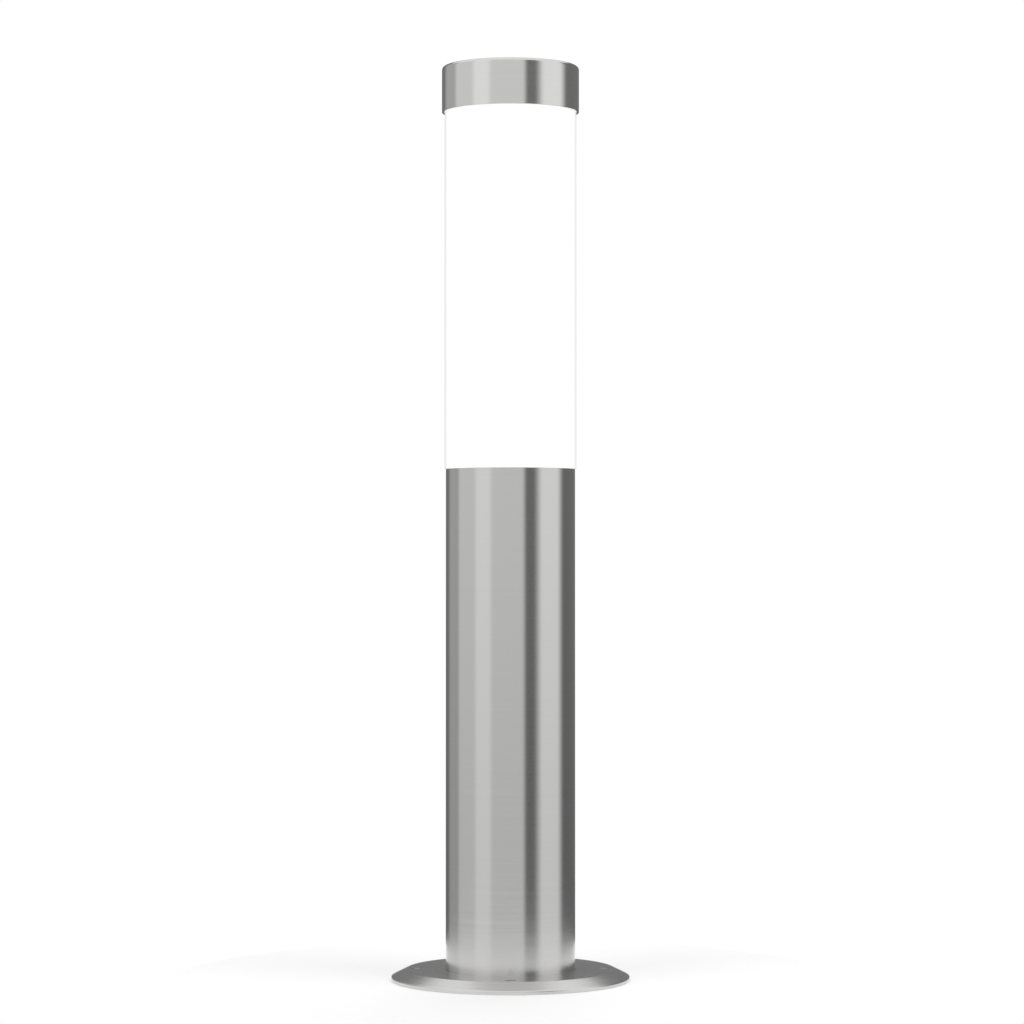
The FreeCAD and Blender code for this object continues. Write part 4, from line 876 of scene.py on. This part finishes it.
# ---- studio --------------------------------------------------------------------------------------
# The grey cloths that stand round the object, in front of the white surround. Each row is where a stretch
# starts and ends, in degrees round the post from straight in front and positive to the right, and how much of
# the white it leaves for the metal to see. One stretch blends into the next.
FLAGS = (
    (-180, -150, 0.2),  # dark cloth behind on the left
    (-130, -110, 0.5),  # thinner cloth behind on the left
    (-100, -70, 0.8),  # thin cloth on the left
    (-60, -40, 1.0),  # open in front on the left
    (-30, 20, 0.8),  # thin cloth in front
    (30, 40, 0.2),  # dark cloth in front on the right
    (60, 90, 1.0),  # open on the right
    (110, 180, 0.2),  # dark cloth behind on the right
)
FLAG_DIM = 0.76  # what is left of that at the lower height and below it
FLAG_DIM_Z = (-0.7, 0.5)  # the heights it fades between, up to all of it
FLAG_STEPS = 180
LAMP_AIM = (0, 0, 0.27)
LAMPS = (  # name, place and the length of a side
    ("lamp_left", (-1.3, -1.2, 1.3), 1.2),
    ("lamp_right", (1.4, -0.9, 1.2), 1.2),
    ("lamp_back", (0.2, 1.5, 1.4), 1.4),
)
FLOOR_STEPS = 96
FLOOR_GREY = (0.80, 0.80, 0.80)
SENSOR_WIDTH = 36.0
CLIP_START = 0.01


def seen_as_white(tree_owner, level, otherwise):
    """A strength that is one level for the camera, mirrors and glass, and another for all other light."""
    ray = add(tree_owner, "ShaderNodeLightPath")
    first = add(tree_owner, "ShaderNodeMath", operation="MAXIMUM")
    both = add(tree_owner, "ShaderNodeMath", operation="MAXIMUM")
    strength = add(tree_owner, "ShaderNodeMapRange")
    strength.inputs["To Min"].default_value, strength.inputs["To Max"].default_value = otherwise, level
    link(tree_owner, ray.outputs["Is Camera Ray"], first.inputs[0])
    link(tree_owner, ray.outputs["Is Glossy Ray"], first.inputs[1])
    link(tree_owner, first.outputs[0], both.inputs[0])
    link(tree_owner, ray.outputs["Is Transmission Ray"], both.inputs[1])
    link(tree_owner, both.outputs[0], strength.inputs["Value"])
    return strength.outputs["Result"]


def white_surround(world, sky):
    """A plain white world, which lights the object no more than a plain sky does."""
    world.use_nodes = True
    world.node_tree.nodes.clear()
    light, out = add(world, "ShaderNodeBackground"), add(world, "ShaderNodeOutputWorld")
    light.inputs["Color"].default_value = WHITE
    link(world, seen_as_white(world, 1.0, sky), light.inputs["Strength"])
    link(world, light.outputs[0], out.inputs[0])


def flag_finish():
    """Grey cloth that dims the white surround by the angle round the post, and a little more lower down."""
    material = bpy.data.materials.new("studio_flags")
    material.use_nodes = True
    material.node_tree.nodes.clear()
    where, split = add(material, "ShaderNodeTexCoord"), add(material, "ShaderNodeSeparateXYZ")
    front = add(material, "ShaderNodeMath", operation="MULTIPLY")
    front.inputs[1].default_value = -1
    angle = add(material, "ShaderNodeMath", operation="ARCTAN2")
    share = add(material, "ShaderNodeMapRange")
    share.inputs["From Min"].default_value, share.inputs["From Max"].default_value = -math.pi, math.pi
    flags = add(material, "ShaderNodeValToRGB")
    flags.color_ramp.interpolation = "EASE"
    stops = [(edge, level) for start, end, level in FLAGS for edge in (start, end)]
    for degrees, _ in stops[1:-1]:
        flags.color_ramp.elements.new((degrees + 180) / 360)
    for stop, (_, level) in zip(flags.color_ramp.elements, stops):
        stop.color = (level, level, level, 1)
    low = add(material, "ShaderNodeMapRange", interpolation_type="SMOOTHSTEP")
    low.inputs["From Min"].default_value, low.inputs["From Max"].default_value = FLAG_DIM_Z
    low.inputs["To Min"].default_value = FLAG_DIM
    seen = add(material, "ShaderNodeMath", operation="MULTIPLY")
    cloth, out = add(material, "ShaderNodeBsdfTransparent"), add(material, "ShaderNodeOutputMaterial")
    for start, end in (
        (where.outputs["Object"], split.inputs[0]), (split.outputs["Y"], front.inputs[0]),
        (split.outputs["X"], angle.inputs[0]), (front.outputs[0], angle.inputs[1]),
        (angle.outputs[0], share.inputs["Value"]), (share.outputs["Result"], flags.inputs["Fac"]),
        (flags.outputs["Color"], seen.inputs[0]), (low.outputs["Result"], seen.inputs[1]),
        (split.outputs["Z"], low.inputs["Value"]), (seen.outputs[0], cloth.inputs["Color"]),
        (cloth.outputs[0], out.inputs[0]),
    ):
        link(material, start, end)
    return material


def stand_flags(studio):
    """The ring of flags, which only mirrors see: a straight wall round the object, below and above it."""
    ends = np.array([[studio.flag_radius, -studio.flag_height], [studio.flag_radius, studio.flag_height]])
    verts, faces = turn(ends, FLAG_STEPS, closed=False)
    mesh = bpy.data.meshes.new("flags")
    mesh.from_pydata(verts.tolist(), [], faces.tolist())
    mesh.materials.append(flag_finish())
    ring = bpy.data.objects.new("flags", mesh)
    bpy.context.scene.collection.objects.link(ring)
    ring.visible_camera = ring.visible_diffuse = ring.visible_shadow = ring.visible_transmission = False


def floor_finish(lift):
    """A pale floor that takes the object's shadow. lift is what it still needs to read as plain white."""
    material, main = shader("studio_floor", FLOOR_GREY, 0.0, 0.9)
    main.inputs["Specular IOR Level"].default_value = 0.0
    main.inputs["Emission Color"].default_value = WHITE
    link(material, seen_as_white(material, lift, 0.0), main.inputs["Emission Strength"])
    return material


def soft_lamp(name, place, size, power):
    """A square soft lamp, aimed at the object's middle, that doesn't show in what mirrors."""
    light = bpy.data.lights.new(name, "AREA")
    light.size, light.energy = size, power
    lamp = bpy.data.objects.new(name, light)
    lamp.location = place
    lamp.rotation_euler = (Vector(LAMP_AIM) - Vector(place)).to_track_quat("-Z", "Y").to_euler()
    lamp.visible_glossy = False
    bpy.context.scene.collection.objects.link(lamp)


class BOLLARD_OT_studio(bpy.types.Operator):
    """Set out the floor, the soft lamps, the surround and the camera"""

    bl_idname = "bollard.studio"
    bl_label = "Studio"

    def execute(self, context):
        scene, studio = context.scene, context.scene.bollard_studio
        angle = np.linspace(0, 2 * math.pi, FLOOR_STEPS, endpoint=False)
        rim = np.stack([np.cos(angle), np.sin(angle), 0 * angle], 1) * studio.floor_radius
        mesh = bpy.data.meshes.new("floor")
        mesh.from_pydata((rim + np.array([0, 0, CAD_BOX[0].z])).tolist(), [], [list(range(FLOOR_STEPS))])
        mesh.materials.append(floor_finish(studio.floor_lift))
        floor = bpy.data.objects.new("floor", mesh)
        scene.collection.objects.link(floor)
        scene.world = scene.world or bpy.data.worlds.new("surround")
        white_surround(scene.world, studio.sky)
        stand_flags(studio)
        for name, place, size in LAMPS:
            soft_lamp(name, place, size, studio.lamp_power)
        eye = bpy.data.cameras.new("eye")
        eye.sensor_width, eye.lens, eye.clip_start = SENSOR_WIDTH, studio.lens, CLIP_START
        camera = bpy.data.objects.new("eye", eye)
        camera.location = (studio.eye_shift, -studio.distance, studio.eye_height)
        camera.rotation_euler = (math.pi / 2 + studio.tilt, 0, 0)
        scene.collection.objects.link(camera)
        scene.camera = camera
        scene.view_settings.view_transform = "Standard"
        return {"FINISHED"}


# ---- panel and registration ----------------------------------------------------------------------
PIECES = (
    BOLLARD_OT_post, BOLLARD_OT_flange, BOLLARD_OT_cap, BOLLARD_OT_head, BOLLARD_OT_liner, BOLLARD_OT_lamp,
    BOLLARD_OT_hardware, BOLLARD_OT_studio,
)
GROUPS = {
    "bollard_steel": BollardSteel, "bollard_shell": BollardShell,
    "bollard_lamp": BollardLamp, "bollard_studio": BollardStudio,
}


class BOLLARD_PT_sidebar(bpy.types.Panel):
    """The bollard light's sizes and its build buttons"""

    bl_idname = "BOLLARD_PT_sidebar"
    bl_label = "Bollard Light"
    bl_space_type = "VIEW_3D"
    bl_region_type = "UI"
    bl_category = "Bollard"

    def draw(self, context):
        for name, group in GROUPS.items():
            box = self.layout.box()
            for key in group.__annotations__:
                box.prop(getattr(context.scene, name), key)
        for operator in PIECES:
            self.layout.operator(operator.bl_idname)


def register():
    """Adds the classes and hangs the groups of sizes on the scene."""
    for item in (*GROUPS.values(), *PIECES, BOLLARD_PT_sidebar):
        bpy.utils.register_class(item)
    for name, group in GROUPS.items():
        setattr(bpy.types.Scene, name, PointerProperty(type=group))


def unregister():
    """Takes the groups and the classes away again."""
    for name in GROUPS:
        delattr(bpy.types.Scene, name)
    for item in reversed((*GROUPS.values(), *PIECES, BOLLARD_PT_sidebar)):
        bpy.utils.unregister_class(item)


def main():
    """Builds everything in order."""
    register()
    for operator in PIECES:
        group, name = operator.bl_idname.split(".")
        getattr(getattr(bpy.ops, group), name)()
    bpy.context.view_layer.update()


if __name__ == "__main__":
    main()
